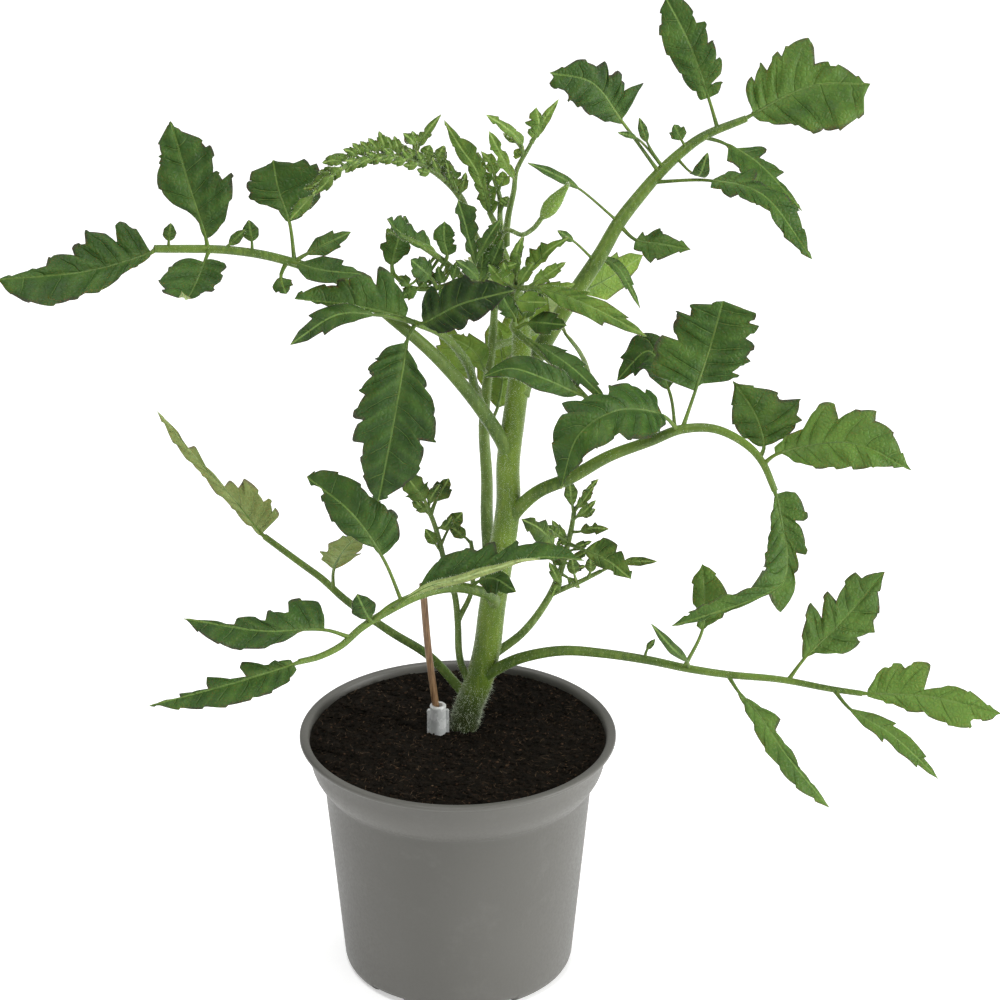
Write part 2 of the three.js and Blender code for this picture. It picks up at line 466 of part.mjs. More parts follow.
            edges: [[[0.2, 2.4], [0.6, 2]],
              [[0.1, 2.5], [0.2, 4], [0.27, 2.6], [0.42, 4], [0.48, 2.4], [0.7, 2.2]]],
            face: [0, -0.95, 0.2], fold: 8 },
          { way: [[-14, 0, 332], [-13, 0, 335], [-10, -1, 341], [-5, -2, 348]],
            edges: [[[0.12, 1.6], [0.35, 3], [0.42, 1.4], [0.8, 1.4]],
              [[0.1, 1.6], [0.3, 2.2], [0.4, 3], [0.46, 1.5], [0.8, 1.3]]],
            face: [0, -0.95, 0.2], fold: 8 },
          { way: [[-14, -1, 333], [-15, -2, 337], [-18, -3, 341]], half: [2.4, 2.4], teeth: [0, 0],
            face: [0, -0.95, 0.2], fold: 8 },
          { way: [[-12, 0, 327], [-11, 0, 331], [-9, -1, 336]], half: [2.4, 2.4], teeth: [0, 0],
            face: [0, -0.95, 0.2], fold: 6 },
          { way: [[-9, 2, 325], [-7, 2, 329], [-4, 1, 335]], half: [2, 2], teeth: [0, 0],
            face: [0, -0.95, 0.2], fold: 6 },
        ],
      },
    ],
  },
  {
    name: 'crown_leaf_tip',
    material: YOUNG_GREEN,
    branches: [
      {
        way: [[17, 10, 292], [15, 11, 299], [12, 12, 305]],
        radii: [1.5, 1.2, 0.9],
        leaflets: [
          { way: [[13, 12, 302], [12, 12, 305], [10, 11, 314], [7, 10, 323], [2, 9, 331],
            [-4, 8, 342]],
            edges: [[[0.06, 2.2], [0.16, 3.4], [0.21, 2.2], [0.31, 3.6], [0.35, 2.4], [0.47, 3.4],
              [0.52, 2.4], [0.7, 3.2], [0.76, 2.2], [0.9, 1.4]],
              [[0.06, 1.6], [0.18, 2.6], [0.24, 1.6], [0.4, 3], [0.46, 3], [0.58, 4.6], [0.68, 4.8],
              [0.76, 3.4], [0.8, 1.8], [0.92, 1.2]]],
            face: [0, -0.95, 0.2], fold: 12 },
          { way: [[13, 14, 300], [13, 14, 303], [11, 14, 313], [9, 15, 321], [8, 16, 327]],
            edges: [[[0.1, 1.4], [0.3, 1.6], [0.6, 1.6], [0.85, 1.6]],
              [[0.08, 2.6], [0.2, 4.2], [0.25, 2.6], [0.42, 4.2], [0.47, 2.4], [0.62, 3.8],
              [0.68, 2.2], [0.82, 3], [0.87, 1.4]]],
            face: [0, -0.95, 0.2], fold: 12 },
        ],
      },
      {
        way: [[18, 11, 292], [16, 15, 300], [16, 17, 308], [14, 18, 315]],
        radii: [1.2, 0.8],
        leaflets: [
          { way: [[14, 18, 315], [14, 18, 317], [12, 18, 323], [9, 19, 326]],
            edges: [[[0.2, 2.6], [0.45, 2.8], [0.52, 1.4], [0.75, 2]],
              [[0.15, 3], [0.4, 4], [0.46, 2.4], [0.7, 2.6], [0.76, 1.2]]],
            face: [0, -0.95, 0.2], fold: 8 },
          { way: [[15, 17, 311], [16, 17, 313], [17, 17, 316], [17, 17, 319]], half: [3, 3], teeth: [1, 1],
            face: [0, -0.95, 0.2], fold: 8 },
          { way: [[16, 16, 303], [17, 15, 306], [19, 15, 310]], half: [2.2, 2.2], teeth: [0, 0],
            face: [0, -0.95, 0.2], fold: 8 },
        ],
      },
      {
        way: [[18, 10, 293], [19, 10, 304], [21, 10, 314], [22, 10, 322], [26, 10, 330],
          [28, 10, 334]],
        radii: [1.3, 1, 0.7],
        leaflets: [
          { way: [[28, 10, 333], [29, 10, 335], [32, 9, 342], [37, 8, 350]],
            half: [1.7, 1.9], teeth: [0, 0], face: [0, -0.95, 0.2], fold: 10 },
          { way: [[27, 10, 333], [28, 10, 334], [30, 9, 339], [29, 8, 347]],
            edges: [[[0.1, 3.6], [0.28, 4.4], [0.36, 2.4], [0.48, 5], [0.6, 5.8], [0.65, 3.4], [0.85, 3],
              [0.94, 1.4]],
              [[0.15, 1.8], [0.5, 1.4], [0.8, 1.6]]],
            face: [0, -0.95, 0.2], fold: 8 },
          { way: [[24, 10, 327], [24, 9, 332], [21, 7, 337], [16, 5, 342], [11, 3, 346]],
            edges: [[[0.1, 1.6], [0.4, 2], [0.75, 1.8]],
              [[0.12, 2.6], [0.3, 2.6], [0.36, 1.8], [0.6, 2], [0.85, 1.3]]],
            face: [0, -0.9, 0.4], fold: 10 },
          { way: [[24, 10, 329], [22, 9, 333], [17, 8, 337]], half: [1.4, 1.4], teeth: [0, 0],
            face: [0, -0.95, 0.2], fold: 6 },
          { way: [[25, 11, 328], [24, 12, 327], [21, 12, 329]], half: [2.6, 2.6], teeth: [1, 1],
            face: [0, -0.95, 0.2], fold: 8 },
          { way: [[22, 10, 316], [21, 9, 319], [18, 7, 326], [12, 5, 339]],
            edges: [[[0.15, 1.8], [0.45, 3], [0.52, 2], [0.68, 3], [0.75, 2.2], [0.9, 1.6]],
              [[0.12, 1.8], [0.28, 2.4], [0.34, 1.6], [0.55, 2.6], [0.6, 1.6], [0.8, 2],
              [0.93, 1.3]]],
            face: [0, -0.95, 0.2], fold: 12 },
        ],
      },
    ],
  },
  {
    name: 'crown_leaf_left',
    material: LEAF_GREEN,
    branches: [
      {
        way: [[22, 8, 266], [10, 5, 275], [-2, 1, 288], [-8, -6, 296], [-15, -14, 304],
          [-24, -23, 312]],
        radii: [1.5, 1.2, 0.8],
        leaflets: [
          { way: [[-7, -5, 296], [-9, -7, 299], [-16, -14, 305], [-21, -20, 311],
            [-24, -27, 318]],
            edges: [[[0.1, 2], [0.5, 2.4], [0.8, 2.2]],
              [[0.08, 3.4], [0.2, 5], [0.27, 3.6], [0.45, 5.4], [0.52, 4.4], [0.62, 6.2], [0.74, 5],
              [0.8, 2.6], [0.93, 2]]],
            face: [0.3, -0.7, 0.6], fold: 20 },
          { way: [[-2, -4, 290], [-3, -5, 295], [-4, -6, 301], [-4, -7, 309]],
            edges: [[[0.12, 2.2], [0.3, 3], [0.5, 4], [0.75, 4], [0.9, 2.4]],
              [[0.1, 4], [0.25, 5], [0.32, 3], [0.45, 4.4], [0.52, 3.6], [0.62, 5], [0.72, 3.6],
              [0.9, 2.4]]],
            face: [0, -0.95, 0.2], fold: 10 },
          { way: [[8, 0, 283], [7, -2, 290], [5, -5, 301], [3, -7, 310], [1, -9, 318]],
            edges: [[[0.15, 1.6], [0.35, 2.4], [0.4, 1.6], [0.7, 2.2], [0.9, 2.2]],
              [[0.12, 1.8], [0.32, 2.6], [0.38, 2], [0.55, 4.6], [0.66, 4.2], [0.72, 5.6],
              [0.86, 5.4], [0.92, 3]]],
            face: [0, -0.95, 0.2], fold: 14 },
          { way: [[9, 0, 284], [8, -3, 293], [11, -6, 301], [16, -8, 310]],
            edges: [[[0.2, 1.8], [0.42, 3.4], [0.5, 2.4], [0.7, 3], [0.85, 1.6]],
              [[0.15, 1.4], [0.45, 2], [0.7, 3], [0.8, 2], [0.92, 1.2]]],
            face: [0, -0.95, 0.2], fold: 12 },
        ],
      },
      {
        way: [[2, 3, 282], [-8, -5, 282], [-17, -8, 284], [-23, -7, 289]],
        radii: [1, 0.8],
        leaflets: [
          { way: [[-23, -7, 288], [-23, -5, 291], [-21, -2, 299], [-18, 1, 308]],
            edges: [[[0.06, 3], [0.2, 5], [0.35, 6], [0.42, 4.4], [0.6, 6], [0.66, 4], [0.85, 4],
              [0.94, 2]],
              [[0.08, 2.4], [0.25, 4.6], [0.45, 5.6], [0.55, 4.4], [0.75, 3.6], [0.93, 2]]],
            face: [0, -0.95, 0.2], fold: 8 },
          { way: [[-7, -4, 282], [-9, -9, 288], [-16, -14, 297]], half: [5, 5], teeth: [2, 2],
            face: [0.2, -0.8, 0.5], fold: 8 },
          { way: [[11, -4, 283], [8, -6, 286], [5, -9, 291], [0, -12, 296]], half: [3, 3], teeth: [1, 1],
            face: [0, -0.8, 0.6], fold: 10 },
        ],
      },
    ],
  },
  {
    name: 'crown_leaf_front',
    material: YOUNG_GREEN,
    branches: [
      {
        way: [[21, 8, 276], [22, 2, 279], [26, -4, 282]],
        radii: [1.4, 1],
        leaflets: [
          { way: [[25, -3, 281], [30, -7, 283], [48, -26, 284], [68, -44, 280]],
            half: [5, 6], teeth: [2, 1], face: [0, -0.6, 0.8], fold: 14 },
          { way: [[24, 2, 282], [26, 2, 285], [30, 2, 290], [34, 1, 295], [41, 0, 300]],
            edges: [[[0.1, 3.6], [0.2, 5], [0.27, 4], [0.36, 6], [0.42, 4], [0.55, 4.4], [0.62, 2.2],
              [0.85, 1.6]],
              [[0.15, 1.6], [0.5, 2], [0.85, 1.2]]],
            face: [0.1, -0.8, 0.6], fold: 8 },
          { way: [[23, 3, 281], [23, 1, 288], [22, 0, 293], [24, -1, 301]],
            edges: [[[0.12, 1.4], [0.28, 3.4], [0.35, 1.6], [0.7, 1.6]],
              [[0.2, 1.8], [0.55, 2], [0.85, 1.4]]],
            face: [0, -0.95, 0.2], fold: 8 },
          { way: [[23, 0, 279], [22, -8, 279], [33, -16, 281]], half: [4.5, 4.5], teeth: [1, 1],
            face: [0, -0.8, 0.6], fold: 8 },
          { way: [[18, 3, 280], [15, 0, 285], [18, -2, 289], [22, -3, 291]], half: [3, 3.2], teeth: [1, 1],
            face: [0, -0.8, 0.6], fold: 8 },
          { way: [[17, 5, 280], [15, 4, 286], [13, 2, 294], [11, 1, 300]],
            edges: [[[0.15, 2], [0.5, 2.4], [0.85, 1.4]],
              [[0.12, 2.6], [0.4, 4.2], [0.5, 3], [0.6, 4], [0.68, 2.2], [0.88, 1.4]]],
            face: [0, -0.95, 0.2], fold: 8 },
        ],
      },
    ],
  },
  {
    name: 'crown_leaf_right',
    material: LEAF_GREEN,
    branches: [
      {
        way: [[24, 7, 262], [21, -1, 266], [22, -10, 267], [31, -18, 262], [40, -25, 256], [47, -30, 250]],
        radii: [1.5, 1.2, 0.9],
        leaflets: [
          { way: [[46, -29, 251], [44, -31, 252], [32, -36, 260], [20, -36, 264], [10, -32, 259]],
            half: [5, 6], teeth: [0, 0], face: [0, -0.75, 0.65], fold: 12 },
          { way: [[24, -12, 266], [29, -16, 265], [42, -24, 259], [54, -30, 249]], half: [5, 5],
            teeth: [3, 1], face: [0.5, -0.7, 0.5], fold: 12 },
          { way: [[22, -8, 267], [26, -11, 271], [40, -20, 274]], half: [5, 5], teeth: [1, 1],
            face: [0, -0.7, 0.7], fold: 8 },
        ],
      },
    ],
  },
];

const FLOWER_BUD = {
  pedicel: [[17, 10, 286], [16, 5, 298], [19, 2, 302], [24, 0, 301], [28, 1, 303], [31, 1, 307]],
  radii: [1.1, 0.8, 0.9],
  tip: [41, -2, 322],
  profile: [[0, 0.8], [0.12, 2], [0.3, 2.9], [0.5, 2.6], [0.72, 1.6], [0.9, 0.8]],
};

const SUPPORT_STICK = [[-7.5, 4, 62], [-7.5, 4, 98], [-9, 4.5, 112], [-11, 5, 130], [-13, 5, 158]];

const vector = (point) => new THREE.Vector3(...point);
const smoothWay = (points) => new THREE.CatmullRomCurve3(points, false, 'centripetal');

// A closed solid from a three.js geometry, with its shared corners merged
function solidOf(geometry) {
  const bare = new THREE.BufferGeometry();
  bare.setAttribute('position', geometry.getAttribute('position').clone());
  if (geometry.index) bare.setIndex(geometry.index.clone());
  const merged = mergeVertices(bare, 1e-4);
  const vertProperties = new Float32Array(merged.getAttribute('position').array);
  const triVerts = withoutSlivers(merged.index.array);
  return new wasm.Manifold(new wasm.Mesh({ numProp: 3, vertProperties, triVerts }));
}

// Lathes leave triangles with two equal corners on the axis
function withoutSlivers(corners) {
  const kept = [];
  for (let i = 0; i < corners.length; i += 3) {
    const [a, b, c] = [corners[i], corners[i + 1], corners[i + 2]];
    if (a !== b && b !== c && c !== a) kept.push(a, b, c);
  }
  return new Uint32Array(kept);
}

function meshOf(name, solid, material) {
  const { vertProperties, triVerts } = solid.getMesh();
  const geometry = new THREE.BufferGeometry();
  geometry.setAttribute('position', new THREE.BufferAttribute(vertProperties, 3));
  geometry.setIndex(new THREE.BufferAttribute(triVerts, 1));
  geometry.computeVertexNormals();
  const mesh = new THREE.Mesh(geometry, material);
  mesh.name = name;
  return mesh;
}

const joined = (solids) => solids.reduce((whole, solid) => whole.add(solid));

// The value at a share of the way through a list of evenly spaced values
function blended(values, share) {
  const place = Math.min(Math.max(share, 0), 1) * (values.length - 1);
  const low = Math.min(Math.floor(place), values.length - 2);
  return values[low] + (values[low + 1] - values[low]) * (place - low);
}

// A round tube along a way, whose radius follows the list of radii
function stemSolid(way, radii, sides, swelling = 0) {
  const points = way.map(vector);
  const [first, second] = points;
  const [beforeLast, last] = points.slice(-2);
  const ahead = last.clone().sub(beforeLast).setLength(swelling);
  first.add(first.clone().sub(second).setLength(swelling));
  last.add(ahead);
  const path = smoothWay(points);
  const steps = Math.max(3, Math.round((way.length - 1) * STEPS_PER_POINT));
  const section = new THREE.Shape();
  for (let side = 0; side < sides; side += 1) {
    const turn = (side / sides) * Math.PI * 2;
    if (side === 0) section.moveTo(Math.cos(turn), Math.sin(turn));
    else section.lineTo(Math.cos(turn), Math.sin(turn));
  }
  section.closePath();
  const tube = new THREE.ExtrudeGeometry(section, { steps, bevelEnabled: false, extrudePath: path });
  const centres = path.getSpacedPoints(steps);
  const corners = tube.getAttribute('position');
  const corner = new THREE.Vector3();
  for (let i = 0; i < corners.count; i += 1) {
    corner.fromBufferAttribute(corners, i);
    const distances = centres.map((centre) => centre.distanceTo(corner));
    const nearest = distances.indexOf(Math.min(...distances));
    const radius = blended(radii, nearest / steps) + swelling;
    corner.sub(centres[nearest]).setLength(radius).add(centres[nearest]);
    corners.setXYZ(i, corner.x, corner.y, corner.z);
  }
  return solidOf(tube);
}

// How far a blade's edge reaches at a share of its length, as a share of its half width
const ovate = (share, widest) => Math.sin(Math.PI * share ** (Math.log(0.5) / Math.log(widest))) ** 0.85;

// One edge of a blade from its base to just short of its tip, as [share of length, reach]
function bladeEdge(half, teeth, widest) {
  const reach = (share) => half * ovate(share, widest);
  if (half < SMALL_HALF && teeth === 0) return [widest * 0.6, 0.7].map((share) => [share, reach(share)]);
  if (teeth === 0) return [0.1, 0.32, 0.6, 0.84].map((share) => [share, reach(share)]);
  const edge = [[0.08, reach(0.08)]];
  for (let tooth = 0; tooth < teeth; tooth += 1) {
    const tip = 0.12 + (0.76 * (tooth + 0.72)) / teeth;
    const notch = tip + 0.025;
    edge.push([tip, reach(tip) * 1.06], [notch, reach(notch) * (1 - TOOTH_DEPTH)]);
  }
  const last = edge[edge.length - 1][0];
  const shoulder = (last + 1) / 2;
  edge.push([shoulder, reach(shoulder)]);
  return edge;
}

// Triangles between two rows of corners that both run from base to tip
function zipped(inner, outer) {
  const faces = [];
  let i = 0;
  let o = 0;
  while (i < inner.length - 1 || o < outer.length - 1) {
    const nextInner = i < inner.length - 1 ? inner[i + 1].at : Infinity;
    const nextOuter = o < outer.length - 1 ? outer[o + 1].at : Infinity;
    if (nextOuter <= nextInner) {
      faces.push([inner[i].corner, outer[o].corner, outer[o + 1].corner]);
      o += 1;
    } else {
      faces.push([inner[i].corner, outer[o].corner, inner[i + 1].corner]);
      i += 1;
    }
  }
  return faces;
}

// A leaflet with its stalk: a thin folded sheet, split into triangles alike on both faces
function leafletSolid({ way, half, teeth, edges, face, fold, widest = WIDEST_SHARES }, root) {
  const path = smoothWay([root, ...way.slice(1).map(vector)]);
  const fine = 200;
  const lengths = path.getLengths(fine);
  const base = lengths[Math.round(fine / (way.length - 1))] / lengths[fine];
  const across = path.getTangentAt((1 + base) / 2).cross(vector(face)).normalize();
  const reaches = edges ? edges.flat().map(([, reach]) => reach) : half;
  const small = Math.max(...reaches) < SMALL_HALF;
  const stalkHalf = small ? 0.5 : STALK_THICKNESS / 2;
  const stalkDepth = small ? 1 : STALK_THICKNESS;
  const lift = THREE.MathUtils.degToRad(fold);
  const corners = [];

  function frameAt(at) {
    const middle = path.getPointAt(at);
    const along = path.getTangentAt(at);
    const right = across.clone().addScaledVector(along, -across.dot(along)).normalize();
    return { middle, right, up: right.clone().cross(along) };
  }

  // Adds the upper and lower corner at a reach from the midrib. The lower one is the next number.
  function addCorner(at, reach, hand) {
    const { middle, right, up } = frameAt(at);
    const onBlade = at > base;
    const depth = onBlade ? BLADE_THICKNESS : stalkDepth;
    const tilt = onBlade ? lift : 0;
    const outward = right.multiplyScalar(hand);
    const normal = up.clone().multiplyScalar(Math.cos(tilt)).addScaledVector(outward, -Math.sin(tilt));
    const offset = reach === 0 ? up.clone().divideScalar(Math.cos(tilt)) : normal;
    const spot = middle.addScaledVector(outward, reach * Math.cos(tilt));
    spot.addScaledVector(up, reach * Math.sin(tilt));
    for (const side of [0.5, -0.5]) corners.push(spot.clone().addScaledVector(offset, depth * side));
    return corners.length - 2;
  }

  const blade = 1 - base;
  const midribCount = small && !edges ? 1 : Math.max(3, way.length - 1);
  const midribShares = Array.from({ length: midribCount }, (_, i) => (i + 1) / (midribCount + 1));
  const stalkStations = small ? [0, base] : [0, base * 0.5, base];
  const midribStations = [...stalkStations, ...midribShares.map((share) => base + blade * share)];
  const midrib = midribStations.map((at) => ({ at, corner: addCorner(at, 0, 1) }));
  const tip = addCorner(1, 0, 1);
  const faces = [];
  const hands = [[-1, 0], [1, 1]];
  for (const [hand, side] of hands) {
    const stalkEdge = stalkStations.map((at) => [at, stalkHalf]);
    const outline = edges ? edges[side] : bladeEdge(half[side], teeth[side], widest[side]);
    const bladeStations = outline.map(([share, out]) => [base + blade * share, out]);
    const stations = [...stalkEdge, ...bladeStations];
    const edge = stations.map(([at, out]) => ({ at, corner: addCorner(at, out, hand) }));
    const upper = zipped(midrib, edge);
    upper.push([midrib[midrib.length - 1].corner, edge[edge.length - 1].corner, tip]);
    const rim = [...edge.map((station) => station.corner), tip];
    const sheet = [];
    for (const [a, b, c] of upper) sheet.push([a, b, c], [a + 1, c + 1, b + 1]);
    for (let i = 0; i < rim.length - 1; i += 1) {
      const [a, b] = [rim[i], rim[i + 1]];
      sheet.push([a, a + 1, b + 1], [a, b + 1, b]);
    }
    const [inner, outer] = [midrib[0].corner, rim[0]];
    sheet.push([inner, inner + 1, outer + 1], [inner, outer + 1, outer]);
    for (const [a, b, c] of sheet) faces.push(hand > 0 ? [a, b, c] : [a, c, b]);
  }
  const geometry = new THREE.BufferGeometry();
  const numbers = corners.flatMap((spot) => spot.toArray());
  geometry.setAttribute('position', new THREE.Float32BufferAttribute(numbers, 3));
  geometry.setIndex(faces.flat());
  return solidOf(geometry);
}

// The same scatter for the same number, between 0 and 1
const scatter = (number) => {
  const wide = Math.sin(number * 12.9898) * 43758.5453;
  return wide - Math.floor(wide);
};

// The pairs of small leaflets along a young leaf, which lean towards its end and stand up from it
function combLeaflets(path, { from, to, pairs, length, half, spread, rise }) {
  const leaflets = [];
  const lean = THREE.MathUtils.degToRad(spread);
  const stand = THREE.MathUtils.degToRad(rise);
  const up = new THREE.Vector3(0, 0, 1);
  for (let pair = 0; pair < pairs; pair += 1) {
    const share = pair / (pairs - 1);
    const at = from + (to - from) * share;
    const root = path.getPointAt(at);
    const along = path.getTangentAt(at);
    const right = along.clone().cross(up).normalize();
    for (const hand of [-1, 1]) {
      const draw = scatter(pair * 2 + (hand + 1) / 2 + pairs);
      const reach = blended(length, share) * (0.85 + 0.3 * draw);
      const sideways = right.clone().multiplyScalar(hand * Math.cos(stand));
      sideways.addScaledVector(up, Math.sin(stand));
      const heading = along.clone().multiplyScalar(Math.cos(lean));
      heading.addScaledVector(sideways, Math.sin(lean));
      const base = root.clone().addScaledVector(heading, reach * 0.2);
      const tip = root.clone().addScaledVector(heading, reach);
      const way = [root.toArray(), base.toArray(), tip.toArray()];
      leaflets.push({ way, half: [half, half], teeth: [0, 0], face: [0, -1, 0.2], fold: 12 });
    }
  }
  return leaflets;
}

function nearestPoint(path, point) {
  let nearest = path.getPointAt(0);
  for (const place of path.getSpacedPoints(120)) {
    if (place.distanceTo(point) < nearest.distanceTo(point)) nearest = place;
  }
  return nearest;
}

function leafSolid(branches) {
  const solids = [];
  for (const { way, radii, leaflets, comb } of branches) {
    const path = smoothWay(way.map(vector));
    solids.push(stemSolid(way, radii, PETIOLE_SIDES));
    const all = comb ? [...leaflets, ...combLeaflets(path, comb)] : leaflets;
    for (const leaflet of all) {
      solids.push(leafletSolid(leaflet, nearestPoint(path, vector(leaflet.way[0]))));
    }
  }
  return joined(solids);
}

function latheSolid(profile) {
  const outline = profile.map(([r, z]) => new THREE.Vector2(r, z));
  return solidOf(new THREE.LatheGeometry(outline, POT_SIDES).rotateX(Math.PI / 2));
}

// The outside of the pot above its base, from the foot of the wall to the top of the band
const WALL_OUTSIDE = [[BASE_RADIUS + 1.8, 4.8], [BAND_BOTTOM_RADIUS, BAND_BOTTOM], [52.4, BAND_BOTTOM + 1.6],
  [55.4, BAND_BOTTOM + 7], [57.4, POT_HEIGHT - LIP_HEIGHT]];

// The inside of the wall, with its two straight stretches
const WALL_INSIDE = [[BASE_RADIUS + 0.6, 6.5], [BAND_BOTTOM_RADIUS - POT_WALL, BAND_BOTTOM - 0.4],
  [54, BAND_BOTTOM + 6.6], [56.2, POT_HEIGHT - 1.6]];

function potSolid() {
  const floor = FOOT_HEIGHT + POT_WALL;
  const profile = [
    [0, 0], [CENTRE_PAD_RADIUS, 0], [CENTRE_PAD_RADIUS + 0.5, FOOT_HEIGHT],
    [FOOT_INNER_RADIUS - 0.5, FOOT_HEIGHT], [FOOT_INNER_RADIUS, 0], [BASE_RADIUS - 3, 0], [BASE_RADIUS, 1.8],
    ...WALL_OUTSIDE,
    [RIM_RADIUS, POT_HEIGHT - LIP_HEIGHT], [RIM_RADIUS, POT_HEIGHT - 0.6], [RIM_RADIUS - 0.6, POT_HEIGHT],
    [RIM_RADIUS - 2.6, POT_HEIGHT], ...WALL_INSIDE.toReversed(),
    [BASE_RADIUS - 1.6, floor], [0, floor],
  ];
  let pot = latheSolid(profile);
  for (let foot = 0; foot < FOOT_COUNT; foot += 1) {
    const turn = THREE.MathUtils.degToRad(FIRST_NOTCH_DEG + (foot * 360) / FOOT_COUNT);
    const notch = new THREE.BoxGeometry(20, NOTCH_WIDTH, FOOT_HEIGHT * 2);
    notch.translate(FOOT_INNER_RADIUS + 9, 0, 0).rotateZ(turn);
    const hole = new THREE.CylinderGeometry(DRAIN_HOLE_RADIUS, DRAIN_HOLE_RADIUS, floor * 4, 12);
    hole.rotateX(Math.PI / 2).translate(DRAIN_RING_RADIUS, 0, 0).rotateZ(turn);
    pot = pot.subtract(solidOf(notch)).subtract(solidOf(hole));
  }
  return pot;
}

function soilSolid(standing) {
  const side = WALL_INSIDE.map(([r, z]) => [r - FIT_GAP, z]);
  const floor = FOOT_HEIGHT + POT_WALL + FIT_GAP;
  const profile = [[0, floor], [BASE_RADIUS - 2.2, floor], ...side, [50, SOIL_TOP + 0.2],
    [24, SOIL_TOP - 0.2], [0, SOIL_TOP + 0.6]];
  return standing.reduce((soil, solid) => soil.subtract(solid), latheSolid(profile));
}

// The clear sleeve at the stick's foot, with a flat wing on each side
function clipSolid(bore) {
  const [x, y] = SUPPORT_STICK[1];
  const middle = SOIL_TOP - CLIP_DEPTH + CLIP_HEIGHT / 2;
  const sleeve = new THREE.CylinderGeometry(CLIP_RADIUS, CLIP_RADIUS, CLIP_HEIGHT, 16).rotateX(Math.PI / 2);
  const wing = new THREE.BoxGeometry(CLIP_WIDTH, CLIP_WING_DEPTH, CLIP_HEIGHT * 0.72);
  const body = solidOf(sleeve.translate(x, y, middle)).add(solidOf(wing.translate(x, y, middle)));
  return body.subtract(bore);
}

function budSolid() {
  const base = vector(FLOWER_BUD.pedicel.at(-1));
  const axis = vector(FLOWER_BUD.tip).sub(base);
  const length = axis.length();
  const outline = FLOWER_BUD.profile.map(([share, radius]) => new THREE.Vector2(radius, share * length));
  const profile = [new THREE.Vector2(0, -1), ...outline, new THREE.Vector2(0, length)];
  const bud = new THREE.LatheGeometry(profile, 10);
  const turn = new THREE.Quaternion().setFromUnitVectors(new THREE.Vector3(0, 1, 0), axis.normalize());
  bud.applyQuaternion(turn).translate(base.x, base.y, base.z);
  return stemSolid(FLOWER_BUD.pedicel, FLOWER_BUD.radii, PETIOLE_SIDES).add(solidOf(bud));
}

const stickTube = (radius, swelling) => stemSolid(SUPPORT_STICK, [radius, radius], 8, swelling);
const mainStem = stemSolid(MAIN_STEM.way, MAIN_STEM.radii, STEM_SIDES);
const stemClearance = stemSolid(MAIN_STEM.way, MAIN_STEM.radii, STEM_SIDES, FIT_GAP);
const backShoot = LEAVES.find((leaf) => leaf.name === 'shoot_back').branches[0];
const backShootClearance = stemSolid(backShoot.way, backShoot.radii, PETIOLE_SIDES, FIT_GAP);
const [clipX, clipY] = SUPPORT_STICK[1];
const clipRoom = new THREE.BoxGeometry(CLIP_WIDTH + FIT_GAP * 2, (CLIP_RADIUS + FIT_GAP) * 2, CLIP_DEPTH * 2);
const clipHole = solidOf(clipRoom.translate(clipX, clipY, SOIL_TOP - FIT_GAP));
const soil = soilSolid([stemClearance, clipHole, stickTube(STICK_RADIUS, FIT_GAP)]);

const group = new THREE.Group();
group.add(meshOf('pot', potSolid(), POT_GREY));
group.add(meshOf('soil', soil, SOIL_BROWN));
group.add(meshOf('main_stem', mainStem, STEM_GREEN));
group.add(meshOf('support_stick', stickTube(STICK_RADIUS, 0), STICK_BROWN));
group.add(meshOf('support_clip', clipSolid(stickTube(CLIP_BORE, FIT_GAP)), CLIP_CLEAR));
for (const { name, material, branches } of LEAVES) {
  const clear = leafSolid(branches).subtract(stemClearance);
  const solid = name === 'leaf_upper_centre' ? clear.subtract(backShootClearance) : clear;
  group.add(meshOf(name, solid, material));
}
group.add(meshOf('flower_bud', budSolid().subtract(stemClearance), BUD_GREEN));

export default group;
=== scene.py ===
"""A young tomato plant in a nursery pot. Metres, +Z up, in the frame of its solids."""

import math

import bpy
import numpy as np
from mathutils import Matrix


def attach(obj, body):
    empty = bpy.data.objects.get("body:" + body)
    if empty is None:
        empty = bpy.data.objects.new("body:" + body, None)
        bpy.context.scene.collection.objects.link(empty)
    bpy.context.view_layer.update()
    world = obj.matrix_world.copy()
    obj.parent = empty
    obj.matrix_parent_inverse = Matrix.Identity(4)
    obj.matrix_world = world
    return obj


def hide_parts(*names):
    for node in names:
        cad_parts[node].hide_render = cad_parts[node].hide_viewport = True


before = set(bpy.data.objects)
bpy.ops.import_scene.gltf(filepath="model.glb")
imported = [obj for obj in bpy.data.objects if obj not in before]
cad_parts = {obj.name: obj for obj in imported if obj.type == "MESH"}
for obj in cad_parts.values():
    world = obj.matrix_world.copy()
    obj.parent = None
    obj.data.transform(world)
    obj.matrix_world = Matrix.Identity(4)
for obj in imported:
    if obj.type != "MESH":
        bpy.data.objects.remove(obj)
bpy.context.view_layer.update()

MM = 0.001

# A full turn in radians, as the phases and headings drawn at random have it
NEAR_TURN = 6.28

# The pot, its peat, the stick and the stick's sleeve, in millimetres
RIM_RADIUS = 60.0
POT_HEIGHT = 98.0
POT_WALL = 1.2
BASE_RADIUS = 42.0
BASE_CURVE = 1.8
BASE_CURVE_HEIGHT = 4.8
BAND_BOTTOM = 79.0
BAND_BOTTOM_RADIUS = 50.9
LIP_HEIGHT = 1.8
FOOT_HEIGHT = 3.0
FOOT_INNER_RADIUS = 32.0
FOOT_COUNT = 6
NOTCH_WIDTH = 15.0
FIRST_NOTCH_DEG = -129.0
SOIL_TOP = 96.5
SOIL_RADIUS = 56.0
SOIL_RINGS = 60
SOIL_TURNS = 150
SOIL_RELIEF = 0.6
SOIL_FALL_START = 51
SOIL_FALL_WIDTH = 5
STICK_RADIUS = 1.35
CLIP_RADIUS = 3.1
CLIP_BORE = 1.7
CLIP_HEIGHT = 15.0
CLIP_DEPTH = 4.0
